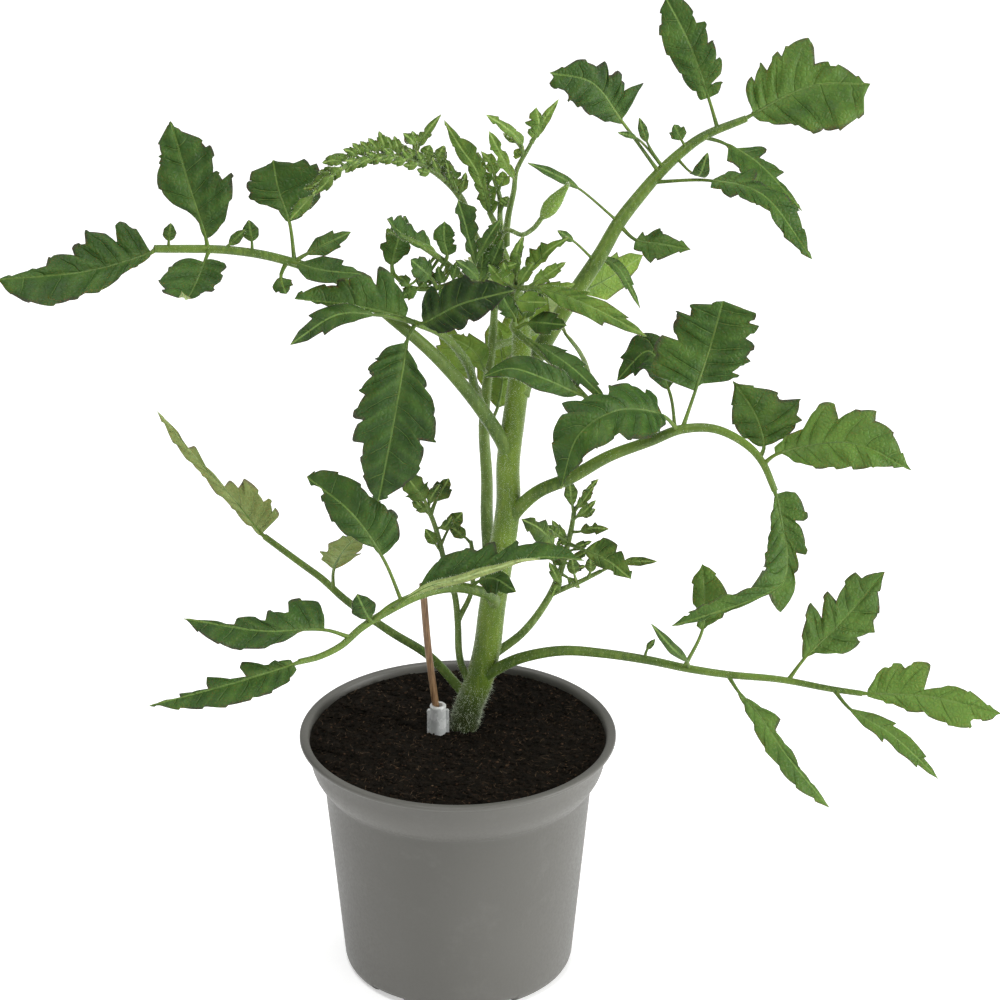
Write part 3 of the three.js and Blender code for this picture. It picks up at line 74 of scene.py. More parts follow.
CLIP_WIDTH = 8.4
CLIP_WING_DEPTH = 1.6
CLIP_TURNS = 48

# The peat's waves by fineness and height, its crumbs by count, least and greatest size and material slot
SOIL_WAVES = ((0.05, 0.5), (0.12, 0.4), (0.3, 0.3), (0.75, 0.22), (1.7, 0.16))
SOIL_CRUMBS = ((5200, 0.25, 0.75, 0), (900, 0.7, 1.5, 0), (260, 0.3, 0.8, 1))
FIBRE_COUNT = 700
CRUMB_REACH = 55.2
FIBRE_REACH = 54

# Radius and height of the peat's hidden skirts
SOIL_SKIRTS = ((53.8, 85.0), (49.2, 78.0))

# Edges and veins of blades, in millimetres or as shares, and the rows set round a tooth or a traced point
WIDEST_SHARES = (0.42, 0.42)
TOOTH_DEPTH = 0.3
EDGE_RIPPLE = 0.05
TOOTH_RIPPLE = 0.035
LOBE_SWELL = 0.06
FINE_TEETH = 0.22
FINE_TEETH_SPACING = 1.9
VEIN_SPACING = 7.5
TOOTH_ROWS = (-0.02, -0.01, 0.01, 0.03, 0.045)
POINT_ROWS = (-0.006, 0, 0.006)

# A leaflet with a lesser reach, in millimetres, is small, or has a fringe of hairs
SMALL_REACH = 4
FRINGED_REACH = 7

# Relief of a blade, as shares of its widest reach
QUILT_HEIGHT = 0.038
MIDRIB_DIP = 0.018
EDGE_SAG = 0.10
EDGE_WAVE = 0.035
PUCKER_HEIGHT = 0.014
PUCKER_SIZES = (0.35, 0.6, 1.0)

# Midribs, stalks and hairs, in millimetres, as shares or as counts
MIDRIB_END = 0.94
MIDRIB_TIP_RADIUS = 0.14
MIDRIB_SINK = 0.16
ROOT_FLARE = 0.35
FLARE_LENGTH = 3.5
HAIR_WIDTH = 0.045
HAIR_ROWS = 80
BUD_HAIRS = 900

# An uneven spread of the smallest leaflets' lengths
SCATTER_TURN = 12.9898
SCATTER_SCALE = 43758.5453

# Seeds of the random draws. The leaves' seeds follow on from the first.
SOIL_SEED = 11
STEM_SEED = 3
BUD_SEED = 7
FIRST_LEAF_SEED = 100

# Heights in metres between which a stem near the peat changes in colour, and above which the pot's band is
# painted lighter, as painted light where the lamps light it more
ROOTED_HEIGHTS = (0.098, 0.122)
BAND_PAINTED_LIGHT_HEIGHTS = (0.076, 0.082)

# The camera, the floor and the soft lamps, each by its name, place, size and power, in metres and degrees
LENS_MM = 170.64
CAMERA_PLACE = (0.016, -1.5893, 0.943)
CAMERA_PITCH_DEG = 64.8
FLOOR_REACH = 30
FLOOR_GLOW = 0.45
WORLD_STRENGTH = 0.36
LAMP_AIM = (0.02, 0, 0.18)
LAMPS = (
    ("key", (-0.3, -0.8, 1.6), 0.45, 12.0),
    ("side", (1.3, -0.35, 0.5), 0.5, 14.0),
    ("top", (0.1, 0.5, 1.7), 0.8, 10.0),
)

# How light each leaflet's green is, from 0 to 1, in the order of the leaflets: partly the leaflet's own tone
# and partly painted light, with leaflets that face the lamps painted lighter and those in the shaded middle
# darker. Those not named take 0.5.
LEAF_TONES_AND_PAINTED_LIGHT = {
    "leaf_upper_left": (0.45, 0.55, 0.4, 0.45, 0.4, 0.4, 0.45),
    "leaf_upper_centre": (0.45, 0.4, 0.0, 0.4),
    "leaf_upper_right": (0.65, 0.55, 0.25, 0.4, 0.5),
    "leaf_right_arch": (0.5, 0.45, 0.3, 0.5, 0.8, 0.55),
    "leaf_lower_right": (1.0, 0.75, 0.8, 0.8, 0.8),
    "leaf_lower_left_front": (0.45, 0.4, 0.4, 0.45, 0.4),
    "crown_leaf_arching": (0.3,) * 60,
    "shoot_left": (0.2,) * 9,
    "shoot_right": (0.2,) * 24,
    "shoot_back": (0.75,) * 8,
}

# The leaflets that show their underside where the others show their upper side, by their order
TURNED_LEAFLETS = {
    "leaf_lower_left_back": (0,),
    "leaf_lower_left_front": (6,),
    "shoot_back": (0, 1, 2, 3, 5, 6, 7),
}

YOUNG_LEAVES = ("shoot_left", "shoot_right", "shoot_back", "crown_leaf_arching", "crown_leaf_tip",
                "crown_leaf_front")

# The material slots of every leaf and stem
STEM, TOP, UNDER, HAIR, RIB = range(5)


def branch(way, radii, *leaflets, comb=None):
    """A stalk by its way and its evenly spaced radii, with the leaflets that it carries."""
    return dict(way=way, radii=radii, leaflets=leaflets, comb=comb)


def traced(way, face, fold, left, right, bent=False):
    """A leaflet whose edges run through points: share of the blade's length in hundredths, and reach from
    the midrib in tenths of a millimetre, turn about. Its way goes from the stalk's root over the blade's
    base to the tip, face is the way it looks, and fold is how far its halves are lifted, in degrees."""
    edges = [np.reshape(edge, (-1, 2)) / (100, 10) for edge in (left, right)]
    return dict(way=way, face=face, fold=fold, edges=edges, bent=bent)


def plain(way, face, fold, half, teeth, widest=WIDEST_SHARES):
    """A leaflet with an oval blade. Half width, in millimetres, and teeth are for both sides or for each."""
    half = half if isinstance(half, tuple) else (half, half)
    teeth = teeth if isinstance(teeth, tuple) else (teeth, teeth)
    return dict(way=way, face=face, fold=fold, half=half, teeth=teeth, widest=widest, bent=False)


MAIN_STEM = [(2, 8, 62), (2, 8, 92), (4, 8, 104), (8, 7, 116), (11, 6, 130), (13, 5, 148), (16, 4, 168),
             (19, 4, 191), (19, 4, 208), (21, 5, 225), (23, 6, 241), (24, 7, 255), (23, 8, 268), (20, 9, 280),
             (16, 10, 291)]
MAIN_STEM_RADII = [5.4, 5.2, 4.7, 4, 2.2]
STEM_FOOT = [(1.9, 8, 95), (2.4, 8, 99), (4, 8, 104), (8, 7, 116)]
STEM_FOOT_RADII = [5.3, 4.9]

# The leaves and shoots, in millimetres
LEAVES = {
    "leaf_upper_left": [
      branch([(20, 4, 211), (15, 1, 222), (5, -5, 240), (-8, -12, 259), (-22, -18, 275), (-39, -22, 291),
             (-62, -28, 303), (-80, -32, 308), (-106, -38, 311)], [2.8, 2.3, 1.7, 1.4],
        traced([(-105, -38, 311), (-107, -39, 310), (-129, -44, 305), (-160, -50, 304)], (0, -0.45, 0.9), 18,
          (2, 24, 15, 47, 36, 123, 48, 135, 53, 156, 58, 156, 66, 167, 73, 168, 87, 143, 93, 101, 97, 54),
          (1, 123, 5, 132, 11, 165, 13, 171, 17, 162, 19, 95, 21, 104, 25, 146, 38, 171, 39, 158, 40, 119,
           48, 128, 50, 117, 49, 78, 53, 87, 63, 90, 67, 75, 69, 45, 81, 36, 94, 17)),
        traced([(-87, -34, 310), (-88, -33, 313), (-94, -28, 332), (-100, -22, 353)], (0.1, -0.95, 0.3), 8,
          (0, 5, 13, 15, 20, 14, 26, 39, 45, 105, 51, 108, 58, 107, 65, 96, 73, 72, 75, 81, 76, 69, 84, 71,
           97, 24),
          (0, 14, 2, 38, 5, 63, 15, 104, 40, 162, 46, 159, 42, 125, 47, 123, 51, 110, 50, 98, 58, 111,
           72, 119, 73, 114, 72, 102, 81, 83, 95, 8)),
        plain([(-101, -37, 311), (-101, -36, 313), (-100, -36, 320)], (0, -1, 0.2), 0, 2.4, 0),
        traced([(-87, -34, 309), (-88, -42, 308), (-91, -56, 304), (-93, -67, 304), (-94, -75, 310)],
               (0, -0.2, 1), 15,
          (0, 65, 11, 98, 20, 89, 34, 95, 39, 81, 52, 78, 51, 54, 62, 42),
          (7, 20, 5, 71, 12, 95, 19, 111, 28, 114, 42, 134, 62, 99, 75, 89, 75, 29)),
        plain([(-82, -32, 308), (-80, -32, 310), (-74, -32, 316)], (-0.4, -0.9, 0.3), 0, 2, 0),
        plain([(-72, -30, 306), (-72, -29, 310), (-73, -28, 318)], (0, -1, 0.2), 0, 3, 0),
        traced([(-57, -27, 301), (-59, -20, 314), (-63, -12, 323), (-65, -8, 333)], (0, -0.95, 0.3), 10,
          (3, 14, 27, 35, 38, 63, 43, 90, 51, 107, 55, 114, 59, 104, 66, 116, 73, 114, 75, 107, 74, 96,
           88, 87, 96, 11),
          (0, 33, 2, 59, 7, 68, 7, 87, 17, 143, 61, 162, 85, 162, 82, 131, 90, 126, 94, 117, 90, 84, 96, 24)),
        plain([(-59, -28, 301), (-56, -30, 302), (-47, -36, 302), (-33, -40, 302)], (0, -0.4, 0.9), 10, 7, 1),
        plain([(-57, -27, 302), (-53, -26, 304), (-37, -22, 311)], (0, -0.8, 0.6), 8, 4, 1),
        plain([(-60, -27, 301), (-62, -30, 297), (-60, -34, 292)], (0, -0.9, 0.4), 0, 4, 1)),
    ],
    "leaf_upper_centre": [
      branch([(11, 19, 219), (7, 12, 234), (4, 5, 248), (-5, -10, 266), (-15, -22, 276)], [1.8, 1.5, 1.2],
        traced([(-14, -21, 276), (-18, -25, 279), (-37, -32, 287), (-57, -36, 291)], (0, -0.92, 0.35), 12,
          (6, 2, 17, 2, 36, 18, 51, 24, 61, 24, 79, 14, 86, 3, 93, 2),
          (0, 42, 20, 125, 33, 165, 36, 167, 37, 152, 34, 95, 38, 110, 43, 122, 49, 132, 57, 134, 60, 125,
           56, 75, 58, 86, 63, 90, 66, 87, 66, 68, 74, 66, 98, 26)),
        plain([(-15, -22, 276), (-28, -34, 284), (-42, -44, 288), (-58, -54, 281)], (0, -0.7, 0.7), 12, 5, 1,
              (0.5, 0.5)),
        traced([(-15, -21, 275), (-12, -23, 276), (2, -29, 286), (21, -33, 293)], (0, -0.85, 0.5), 10,
          (3, 2, 4, 44, 8, 69, 22, 108, 27, 110, 30, 93, 30, 60, 41, 93, 59, 98, 62, 84, 63, 71, 87, 45,
           97, 18),
          (9, 44, 18, 68, 29, 83, 34, 83, 43, 93, 49, 84, 51, 72, 61, 78, 81, 44, 94, 14)),
        traced([(-15, -21, 275), (-17, -27, 272), (-18, -32, 267), (-22, -39, 245), (-28, -39, 213)],
               (0.1, -0.95, 0.2), 10,
          (10, 8, 12, 14, 13, 35, 15, 54, 19, 63, 23, 93, 26, 101, 28, 92, 30, 111, 36, 138, 39, 147, 43, 146,
           48, 158, 57, 165, 57, 111, 66, 132, 78, 123, 83, 105, 88, 77, 94, 50, 98, 29),
          (6, 20, 7, 63, 9, 83, 16, 110, 16, 99, 20, 132, 22, 138, 25, 111, 31, 143, 34, 150, 35, 143,
           36, 126, 46, 156, 49, 158, 50, 147, 50, 123, 63, 147, 64, 143, 64, 99, 73, 99, 77, 93, 89, 62,
           95, 42, 98, 21))),
    ],
    "leaf_upper_right": [
      branch([(23, 6, 236), (28, 12, 245), (33, 18, 252), (43, 26, 266), (53, 32, 280), (60, 37, 291),
             (68, 42, 300), (75, 46, 307), (82, 49, 313), (91, 52, 319), (107, 55, 325)], [3.3, 3, 2.3, 1.3],
        traced([(106, 55, 325), (109, 56, 326), (131, 60, 336), (153, 62, 336)], (0, -0.92, 0.4), 8,
          (1, 11, 3, 12, 3, 63, 6, 98, 10, 123, 15, 135, 15, 107, 23, 150, 26, 156, 27, 122, 39, 168, 40, 146,
           44, 173, 46, 167, 53, 183, 57, 185, 59, 140, 58, 77, 67, 86, 68, 71, 73, 72, 91, 29, 95, 5),
          (3, 41, 29, 120, 33, 152, 38, 173, 58, 174, 71, 182, 76, 179, 88, 144, 95, 117, 95, 50)),
        traced([(96, 53, 322), (93, 58, 332), (86, 66, 350), (76, 70, 369)], (0, -0.95, 0.3), 8,
          (0, 35, 2, 41, 9, 45, 22, 75, 29, 75, 59, 95, 76, 75, 76, 66, 88, 39, 94, 5),
          (0, 8, 1, 45, 8, 72, 10, 66, 11, 47, 10, 30, 14, 47, 16, 72, 27, 99, 30, 96, 29, 72, 33, 84, 44, 95,
           45, 81, 44, 68, 56, 89, 61, 90, 63, 62, 71, 66, 88, 57)),
        traced([(75, 46, 307), (61, 40, 329), (49, 34, 347), (34, 30, 352)], (0.1, -0.93, 0.35), 8,
          (2, 17, 23, 75, 33, 92, 49, 102, 71, 99, 79, 93, 78, 84, 79, 74, 84, 62, 96, 51, 98, 41, 95, 20,
           97, 9),
          (5, 15, 9, 24, 8, 50, 21, 149, 26, 105, 27, 78, 26, 66, 32, 95, 36, 93, 42, 99, 46, 99, 47, 90,
           47, 75, 49, 65, 57, 95, 60, 65, 64, 69, 77, 66)),
        plain([(85, 50, 315), (83, 48, 319), (80, 46, 326)], (0, -1, 0.2), 0, 3.4, 1),
        traced([(72, 44, 304), (94, 38, 307), (112, 35, 303), (131, 28, 280)], (0.3, -0.7, 0.6), 12,
          (0, 2, 4, 24, 10, 47, 16, 57, 19, 54, 27, 84, 29, 83, 30, 57, 29, 35, 39, 41, 48, 62, 58, 65,
           66, 80, 65, 62, 79, 45, 94, 9),
          (0, 41, 8, 44, 16, 74, 22, 54, 30, 62, 36, 62, 42, 45, 53, 38, 59, 48, 67, 48, 81, 41, 96, 15)),
        traced([(91, 52, 319), (99, 53, 316), (111, 52, 309), (128, 46, 292)], (0.5, -0.6, 0.6), 10,
          (12, 6, 20, 3, 28, 57, 34, 74, 37, 75, 38, 62, 36, 29, 42, 27, 47, 38, 51, 51, 62, 56, 60, 20,
           75, 17),
          (6, 23, 8, 41, 7, 75, 14, 77, 32, 98, 48, 95, 60, 77, 70, 50, 78, 15)),
        plain([(81, 49, 312), (86, 42, 309), (89, 36, 310), (92, 33, 320)], (0, -1, 0), 0, 3, 0),
        traced([(60, 37, 290), (66, 32, 286), (75, 28, 286), (86, 25, 285)], (0, -0.7, 0.7), 8,
          (5, 50, 18, 30, 40, 70, 46, 43, 65, 40, 85, 28),
          (5, 45, 20, 50, 38, 90, 44, 70, 60, 55, 80, 30)),
        plain([(59, 36, 292), (45, 30, 307), (36, 26, 314), (26, 20, 321)], (0.5, -0.6, 0.6), 10, 2.2, 0),
        plain([(75, 43, 312), (70, 41, 321), (67, 40, 331)], (0, -1, 0.2), 0, 1.8, 0),
        plain([(75, 43, 312), (66, 40, 323), (59, 38, 326)], (0, -1, 0.3), 0, 1.2, 0),
        plain([(51, 31, 278), (43, 26, 288), (37, 24, 293)], (0.4, -0.7, 0.6), 0, 1.8, 0),
        plain([(46, 28, 270), (51, 36, 277), (59, 38, 273), (68, 34, 258)], (0.5, -0.4, 0.8), 15, 3.5, 1)),
    ],
    "leaf_right_arch": [
      branch([(19, 4, 185), (25, 0, 194), (31, -4, 201), (42, -8, 208), (56, -13, 219), (71, -17, 227),
             (82, -20, 233), (94, -22, 234), (105, -24, 229), (111, -26, 223), (116, -28, 212)], [2.6, 2.3,
             1.7, 1.2],
        traced([(81, -20, 232), (74, -27, 242), (57, -42, 250), (44, -50, 244), (38, -52, 224)],
               (-0.2, -0.75, 0.65), 14,
          (0, 36, 12, 102, 22, 143, 30, 164, 46, 143, 47, 105, 53, 108, 65, 101, 66, 89, 70, 86, 92, 14),
          (0, 14, 0, 110, 4, 116, 8, 84, 19, 105, 32, 113, 35, 105, 36, 86, 38, 71, 54, 96, 60, 132, 61, 104,
           61, 86, 63, 96, 67, 95, 77, 80, 90, 47)),
        traced([(82, -20, 233), (87, -13, 245), (92, -6, 258), (97, -2, 276)], (0, -0.95, 0.3), 8,
          (0, 32, 1, 164, 7, 183, 15, 189, 24, 188, 33, 201, 47, 191, 46, 126, 55, 147, 63, 158, 69, 155,
           75, 162, 78, 156, 76, 108, 87, 114, 89, 102, 94, 41, 98, 26),
          (0, 2, 7, 6, 13, 32, 22, 111, 31, 138, 31, 110, 43, 143, 47, 164, 50, 146, 54, 155, 63, 158,
           66, 147, 68, 123, 84, 158, 84, 123, 93, 134, 97, 132)),
        plain([(80, -19, 232), (78, 4, 238), (71, 12, 250), (59, 12, 238)], (-0.3, -0.7, 0.7), 12, 9, 2),
        traced([(110, -26, 224), (112, -22, 227), (109, -14, 236), (101, -6, 246)], (0, -0.9, 0.4), 10,
          (0, 23, 6, 48, 36, 92, 48, 93, 69, 72, 92, 18),
          (0, 6, 2, 39, 14, 128, 19, 140, 20, 159, 27, 146, 31, 162, 40, 180, 47, 122, 49, 114, 56, 113,
           63, 98, 94, 12)),
        traced([(112, -26, 222), (116, -27, 226), (143, -30, 232), (165, -32, 222)], (0, -0.85, 0.5), 12,
          (1, 32, 17, 68, 24, 74, 27, 93, 29, 119, 32, 135, 36, 153, 40, 156, 43, 150, 45, 87, 51, 122,
           56, 128, 63, 147, 64, 105, 67, 108, 76, 101, 77, 83, 89, 47, 95, 20),
          (4, 2, 7, 8, 7, 23, 11, 47, 16, 62, 28, 93, 36, 98, 56, 96, 67, 89, 73, 71, 76, 56, 94, 2)),
        traced([(116, -28, 213), (116.3, -28.6, 211), (119, -33, 199), (120.5, -38, 191), (118.5, -45, 183),
               (108, -51, 179.5), (95, -55, 176.5), (78, -58, 172)], (0.2, -0.9, 0.3), 12,
          (0, 18, 0, 47, 1, 69, 4, 86, 8, 98, 12, 102, 14, 101, 15, 86, 14, 57, 17, 65, 20, 74, 27, 78,
           29, 71, 28, 30, 30, 33, 33, 44, 36, 45, 39, 23, 41, 27, 45, 45, 48, 72, 50, 87, 51, 72, 52, 39,
           52, 4, 56, 4, 62, 8, 76, 12),
          (3, 18, 7, 33, 13, 48, 17, 57, 21, 69, 26, 86, 33, 93, 50, 96, 54, 78, 57, 62, 60, 48, 67, 51,
           78, 51), bent=True)),
    ],
    "leaf_lower_right": [
      branch([(8, 6, 117), (15, 2, 124), (24, -1, 130), (39, -3, 134), (54, -5, 134), (72, -7, 132),
             (87, -8, 129), (102, -9, 127), (121, -9, 125), (140, -9, 121), (152, -9, 119)], [2.3, 1.8, 1.4,
             1.1],
        traced([(151, -9, 119), (154, -9, 119), (178, -12, 119), (204, -14, 113)], (0, -0.75, 0.65), 12,
          (0, 21, 9, 96, 12, 110, 15, 110, 18, 122, 24, 126, 26, 114, 27, 111, 29, 123, 42, 137, 44, 131,
           44, 107, 41, 24, 60, 59, 67, 62, 74, 57, 94, 14),
          (0, 14, 19, 41, 33, 71, 43, 71, 67, 101, 78, 99, 81, 83, 79, 65, 81, 54, 89, 45, 95, 32, 97, 14)),
        traced([(124, -9, 125), (130, -6, 132), (145, 0, 146), (160, 5, 163)], (0.3, -0.9, 0.3), 8,
          (0, 11, 33, 146, 38, 152, 37, 102, 34, 59, 38, 80, 51, 126, 57, 131, 55, 75, 69, 95, 85, 98, 84, 57,
           89, 53, 95, 35),
          (4, 6, 14, 29, 16, 47, 21, 77, 27, 101, 35, 116, 44, 120, 43, 105, 44, 93, 51, 120, 56, 132,
           61, 104, 63, 98, 68, 98, 74, 81, 79, 63, 84, 39, 91, 24)),
        plain([(141, -9, 120), (147, -13, 115), (163, -20, 107), (180, -28, 93)], (0.3, -0.6, 0.7), 14, 5, 2),
        traced([(101, -9, 127), (105, -12, 122), (112, -16, 115), (123, -26, 102), (139, -34, 84)],
               (0.4, -0.7, 0.5), 12,
          (10, 8, 20, 35, 32, 68, 38, 20, 50, 31, 62, 28, 68, 10, 83, 14),
          (10, 28, 25, 50, 60, 62, 75, 58, 88, 35)),
        traced([(85, -8, 129), (92, 2, 140), (93, 8, 150), (92, 12, 163)], (-0.2, -0.9, 0.3), 10,
          (5, 30, 20, 26, 27, 70, 32, 40, 60, 52, 82, 40, 92, 18),
          (8, 20, 20, 70, 35, 85, 55, 90, 85, 50, 94, 30)),
        plain([(87, -8, 129), (86, -12, 134), (80, -16, 142), (72, -18, 153)], (0, -0.9, 0.4), 0, 2, 0),
        plain([(70, -7, 132), (71, -8, 137), (74, -9, 142)], (0, -0.9, 0.4), 0, 1.2, 0)),
    ],
    "leaf_lower_left_back": [
      branch([(6, 8, 105), (0, 12, 111), (-11, 18, 121), (-26, 23, 129), (-43, 30, 139), (-52, 34, 146),
             (-60, 37, 151), (-74, 42, 160)], [1.9, 1.5, 1.2],
        traced([(-73, 42, 159), (-75, 42, 161), (-86, 45, 175), (-99, 47, 190), (-114, 50, 209)],
               (0.3, -0.9, 0.3), 12,
          (0, 11, 8, 20, 26, 29, 54, 27, 63, 32),
          (0, 93, 2, 110, 8, 117, 5, 84, 12, 113, 15, 111, 15, 89, 19, 96, 33, 92, 31, 44, 34, 48, 38, 47,
           38, 27, 37, 2, 60, 5, 64, 18, 67, 35, 69, 33, 70, 2)),
        plain([(-48, 32, 142), (-47, 26, 154), (-42, 16, 168), (-35, 10, 178)], (0, 0.6, 0.8), 10, 8, 2)),
    ],
    "leaf_lower_left_front": [
      branch([(14, 4, 150), (13, -4, 157), (8, -9, 162), (-1, -14, 166), (-13, -24, 168), (-26, -33, 165),
             (-35, -40, 162), (-42, -46, 158), (-50, -51, 156), (-57, -55, 156)], [2.2, 1.9, 1.4, 1.1],
        traced([(-31, -37, 164), (-22, -38, 172), (8, -32, 181), (30, -26, 184), (47, -22, 181)],
               (0, -0.65, 0.75), 14,
          (9, 3, 20, 24, 21, 53, 23, 77, 27, 96, 32, 105, 43, 102, 47, 86, 57, 102, 57, 86, 56, 57, 57, 47,
           67, 80, 68, 72, 67, 60, 79, 65, 94, 32),
          (5, 3, 13, 3, 29, 18, 53, 18, 60, 12, 63, 2, 92, 2)),
        traced([(-39, -43, 160), (-48, -47, 165), (-70, -56, 169), (-98, -62, 177)], (0, -0.6, 0.8), 12,
          (14, 2, 19, 2, 37, 56, 56, 93, 63, 95, 69, 95, 77, 87, 90, 47, 96, 18),
          (0, 29, 0, 59, 3, 110, 7, 119, 20, 125, 23, 117, 24, 72, 27, 71, 37, 84, 40, 83, 42, 50, 63, 48,
           65, 14, 93, 2)),
        plain([(-31, -37, 163), (-32, -40, 166), (-36, -44, 178)], (0, -0.95, 0.3), 0, 4.5, 0),
        traced([(-56, -55, 156), (-59, -57, 156), (-80, -68, 154), (-110, -80, 151)], (0, -0.6, 0.8), 12,
          (0, 29, 8, 62, 14, 77, 28, 90, 35, 92, 65, 77, 79, 54, 94, 18),
          (0, 23, 4, 32, 14, 36, 16, 32, 21, 39, 32, 78, 35, 62, 33, 2, 36, 2, 45, 24, 51, 30, 58, 57, 60, 33,
           60, 2, 76, 15, 79, 21, 79, 2, 95, 2)),
        traced([(-20, -29, 167), (-27, -37, 190), (-38, -36, 207), (-54, -33, 220)], (0.1, -0.9, 0.4), 10,
          (14, 17, 32, 63, 53, 78, 64, 65, 77, 38, 80, 29, 79, 15, 84, 2, 92, 8, 92, 20, 96, 11),
          (1, 20, 1, 35, 5, 83, 9, 102, 22, 129, 28, 131, 31, 126, 32, 116, 36, 120, 39, 117, 42, 104, 49, 95,
           59, 102, 88, 71, 94, 57, 98, 33)),
        plain([(5, -11, 164), (8, -13, 168), (14, -17, 171), (22, -20, 167)], (0, -0.8, 0.6), 0, (4, 6),
              (0, 1)),
        plain([(-21.3, -36, 170), (-19, -39, 173.3), (-9.5, -38, 178.3), (1.4, -36.5, 180.4),
              (9.4, -35, 182.6), (16, -33, 183.6), (24, -31, 185.3), (31, -29, 184.9)], (0, -0.8, 0.6), 4,
              1.7, 0)),
    ],
    "shoot_left": [
      branch([(6, 8, 112), (1, 8, 124), (0, 10, 140), (-1, 11, 150), (-5, 11, 165), (-8, 11, 178),
             (-11, 11, 187)], [1.5, 1.2, 0.9],
        plain([(-10, 11, 186), (-12, 10, 190), (-20, 8, 203)], (0, -0.95, 0.3), 8, 5, 2),
        plain([(-10, 11, 184), (-8, 12, 189), (-3, 13, 198)], (0, -0.95, 0.3), 8, 4, 1),
        plain([(-6, 11, 171), (-3, 12, 178), (2, 13, 184)], (0, -0.95, 0.3), 0, 3, 0),
        plain([(-6, 11, 168), (-8, 10, 172), (-12, 9, 179)], (0, -0.95, 0.3), 0, 2.2, 0)),
      branch([(0, 10, 140), (5, 13, 150), (6, 15, 163), (5, 15, 171)], [1, 0.8],
        plain([(5, 15, 170), (3, 14, 173), (-3, 12, 179)], (0, -0.95, 0.3), 0, 2.5, 0)),
    ],
    "shoot_right": [
      branch([(10, 7, 125), (17, 9, 129), (25, 11, 135), (34, 14, 147), (39, 17, 158), (41, 18, 166),
             (43, 19, 175), (44, 20, 182)], [1.7, 1.4, 0.9],
        traced([(45, 19, 183), (47, 20, 186), (49, 20, 190), (53, 21, 194)], (0, -0.95, 0.3), 8,
          (15, 12, 35, 20, 42, 11, 75, 13),
          (12, 18, 22, 24, 30, 10, 50, 20, 56, 10, 80, 12)),
        plain([(43, 19, 180), (43, 19, 185), (42, 18, 195)], (0, -0.95, 0.3), 8, 2.6, 0),
        plain([(44, 19, 178), (46, 19, 180), (52, 20, 182)], (0, -0.95, 0.3), 8, (1.6, 2.2), 0),
        plain([(41, 18, 169), (38, 15, 173), (33, 12, 179)], (0, -0.9, 0.4), 8, 2.4, 0),
        traced([(43, 18, 173), (46, 17, 174), (51, 16, 176), (57, 15, 176)], (0, -0.9, 0.4), 8,
          (12, 18, 30, 30, 38, 14, 55, 22, 62, 12, 85, 10),
          (20, 22, 50, 28, 80, 16)),
        traced([(43, 18, 168), (48, 9, 170), (56, 5, 168), (65, 1, 162)], (0.3, -0.85, 0.4), 8,
          (5, 30, 19, 70, 38, 78, 46, 76, 50, 52, 56, 60, 70, 44, 93, 26),
          (7, 22, 20, 34, 43, 42, 60, 34, 86, 18)),
        traced([(39, 16, 161), (36, 12, 171), (31, 9, 179), (24, 7, 184)], (0, -0.85, 0.5), 8,
          (12, 30, 40, 50, 60, 46, 85, 26),
          (10, 20, 30, 36, 38, 22, 55, 46, 64, 26, 85, 22)),
        plain([(37, 16, 156), (35, 15, 166), (31, 13, 177)], (0, -0.9, 0.4), 0, 2.4, 0)),
      branch([(35, 15, 149), (45, 14, 154), (54, 14, 159)], [1.1, 0.8],
        plain([(53, 14, 158), (62, 13, 163), (75, 10, 165)], (0, -0.8, 0.6), 8, 1.8, 0),
        plain([(45, 14, 154), (44, 13, 158), (43, 12, 166)], (0, -0.95, 0.3), 0, 2.4, 0),
        plain([(49, 14, 156), (50, 13, 159), (50, 12, 166)], (0, -0.95, 0.3), 0, 2.2, 0)),
    ],
    "shoot_back": [
      branch([(14, 5, 154), (12, 13, 166), (11, 17, 180), (11, 19, 195), (10, 21, 215), (11, 23, 230),
             (13, 26, 246), (14, 28, 262)], [2.5, 2.3, 1.9, 1.3],
        plain([(14, 28, 261), (13, 32, 264), (10, 42, 270), (6, 52, 272)], (0, 0.6, 0.8), 12, 9, 1),
        plain([(11, 21, 213), (15, 30, 219), (17, 38, 232), (14, 44, 250)], (0, 0.95, 0.2), 10, 11, 1),
        plain([(12, 24, 236), (19, 32, 238), (27, 44, 246), (30, 50, 262)], (0.2, 0.9, 0.3), 10, 11, 1),
        plain([(11, 22, 226), (6, 27, 232), (0, 32, 240), (-6, 36, 252)], (-0.3, 0.8, 0.5), 10, 7, 1)),
      branch([(13, 26, 246), (24, 34, 246), (36, 41, 250), (46, 49, 256)], [1.3, 1],
        plain([(45, 49, 256), (47, 51, 257), (58, 58, 261), (70, 64, 267)], (0.1, 0.9, 0.2), 8, 9, 1),
        plain([(34, 40, 249), (34, 46, 250), (34, 58, 252), (32, 70, 248)], (0, 0.1, 1), 10, 9, 1),
        plain([(38, 42, 251), (40, 38, 247), (46, 36, 238), (50, 38, 226)], (0.5, 0.2, 0.8), 10, 6, 1)),
    ],
    "crown_leaf_arching": [
      branch([(20, 9, 278), (13, 14, 284), (6, 16, 296), (2, 12, 310), (-7, 5, 323), (-18, -4, 332),
             (-29, -13, 336), (-39, -20, 335), (-49, -26, 328)], [1.5, 1.2, 0.9],
        plain([(-48, -25, 329), (-50, -27, 327), (-58, -33, 320)], (-0.4, -0.5, 0.7), 12, 3.5, 1),
        traced([(1, 9, 313), (0, 8, 316), (-2, 6, 323), (-4, 4, 329)], (0, -0.95, 0.2), 8,
          (20, 24, 60, 20),
          (10, 25, 20, 40, 27, 26, 42, 40, 48, 24, 70, 22)),
        traced([(-14, 0, 332), (-13, 0, 335), (-10, -1, 341), (-5, -2, 348)], (0, -0.95, 0.2), 8,
          (12, 16, 35, 30, 42, 14, 80, 14),
          (10, 16, 30, 22, 40, 30, 46, 15, 80, 13)),
        plain([(-14, -1, 333), (-15, -2, 337), (-18, -3, 341)], (0, -0.95, 0.2), 8, 2.4, 0),
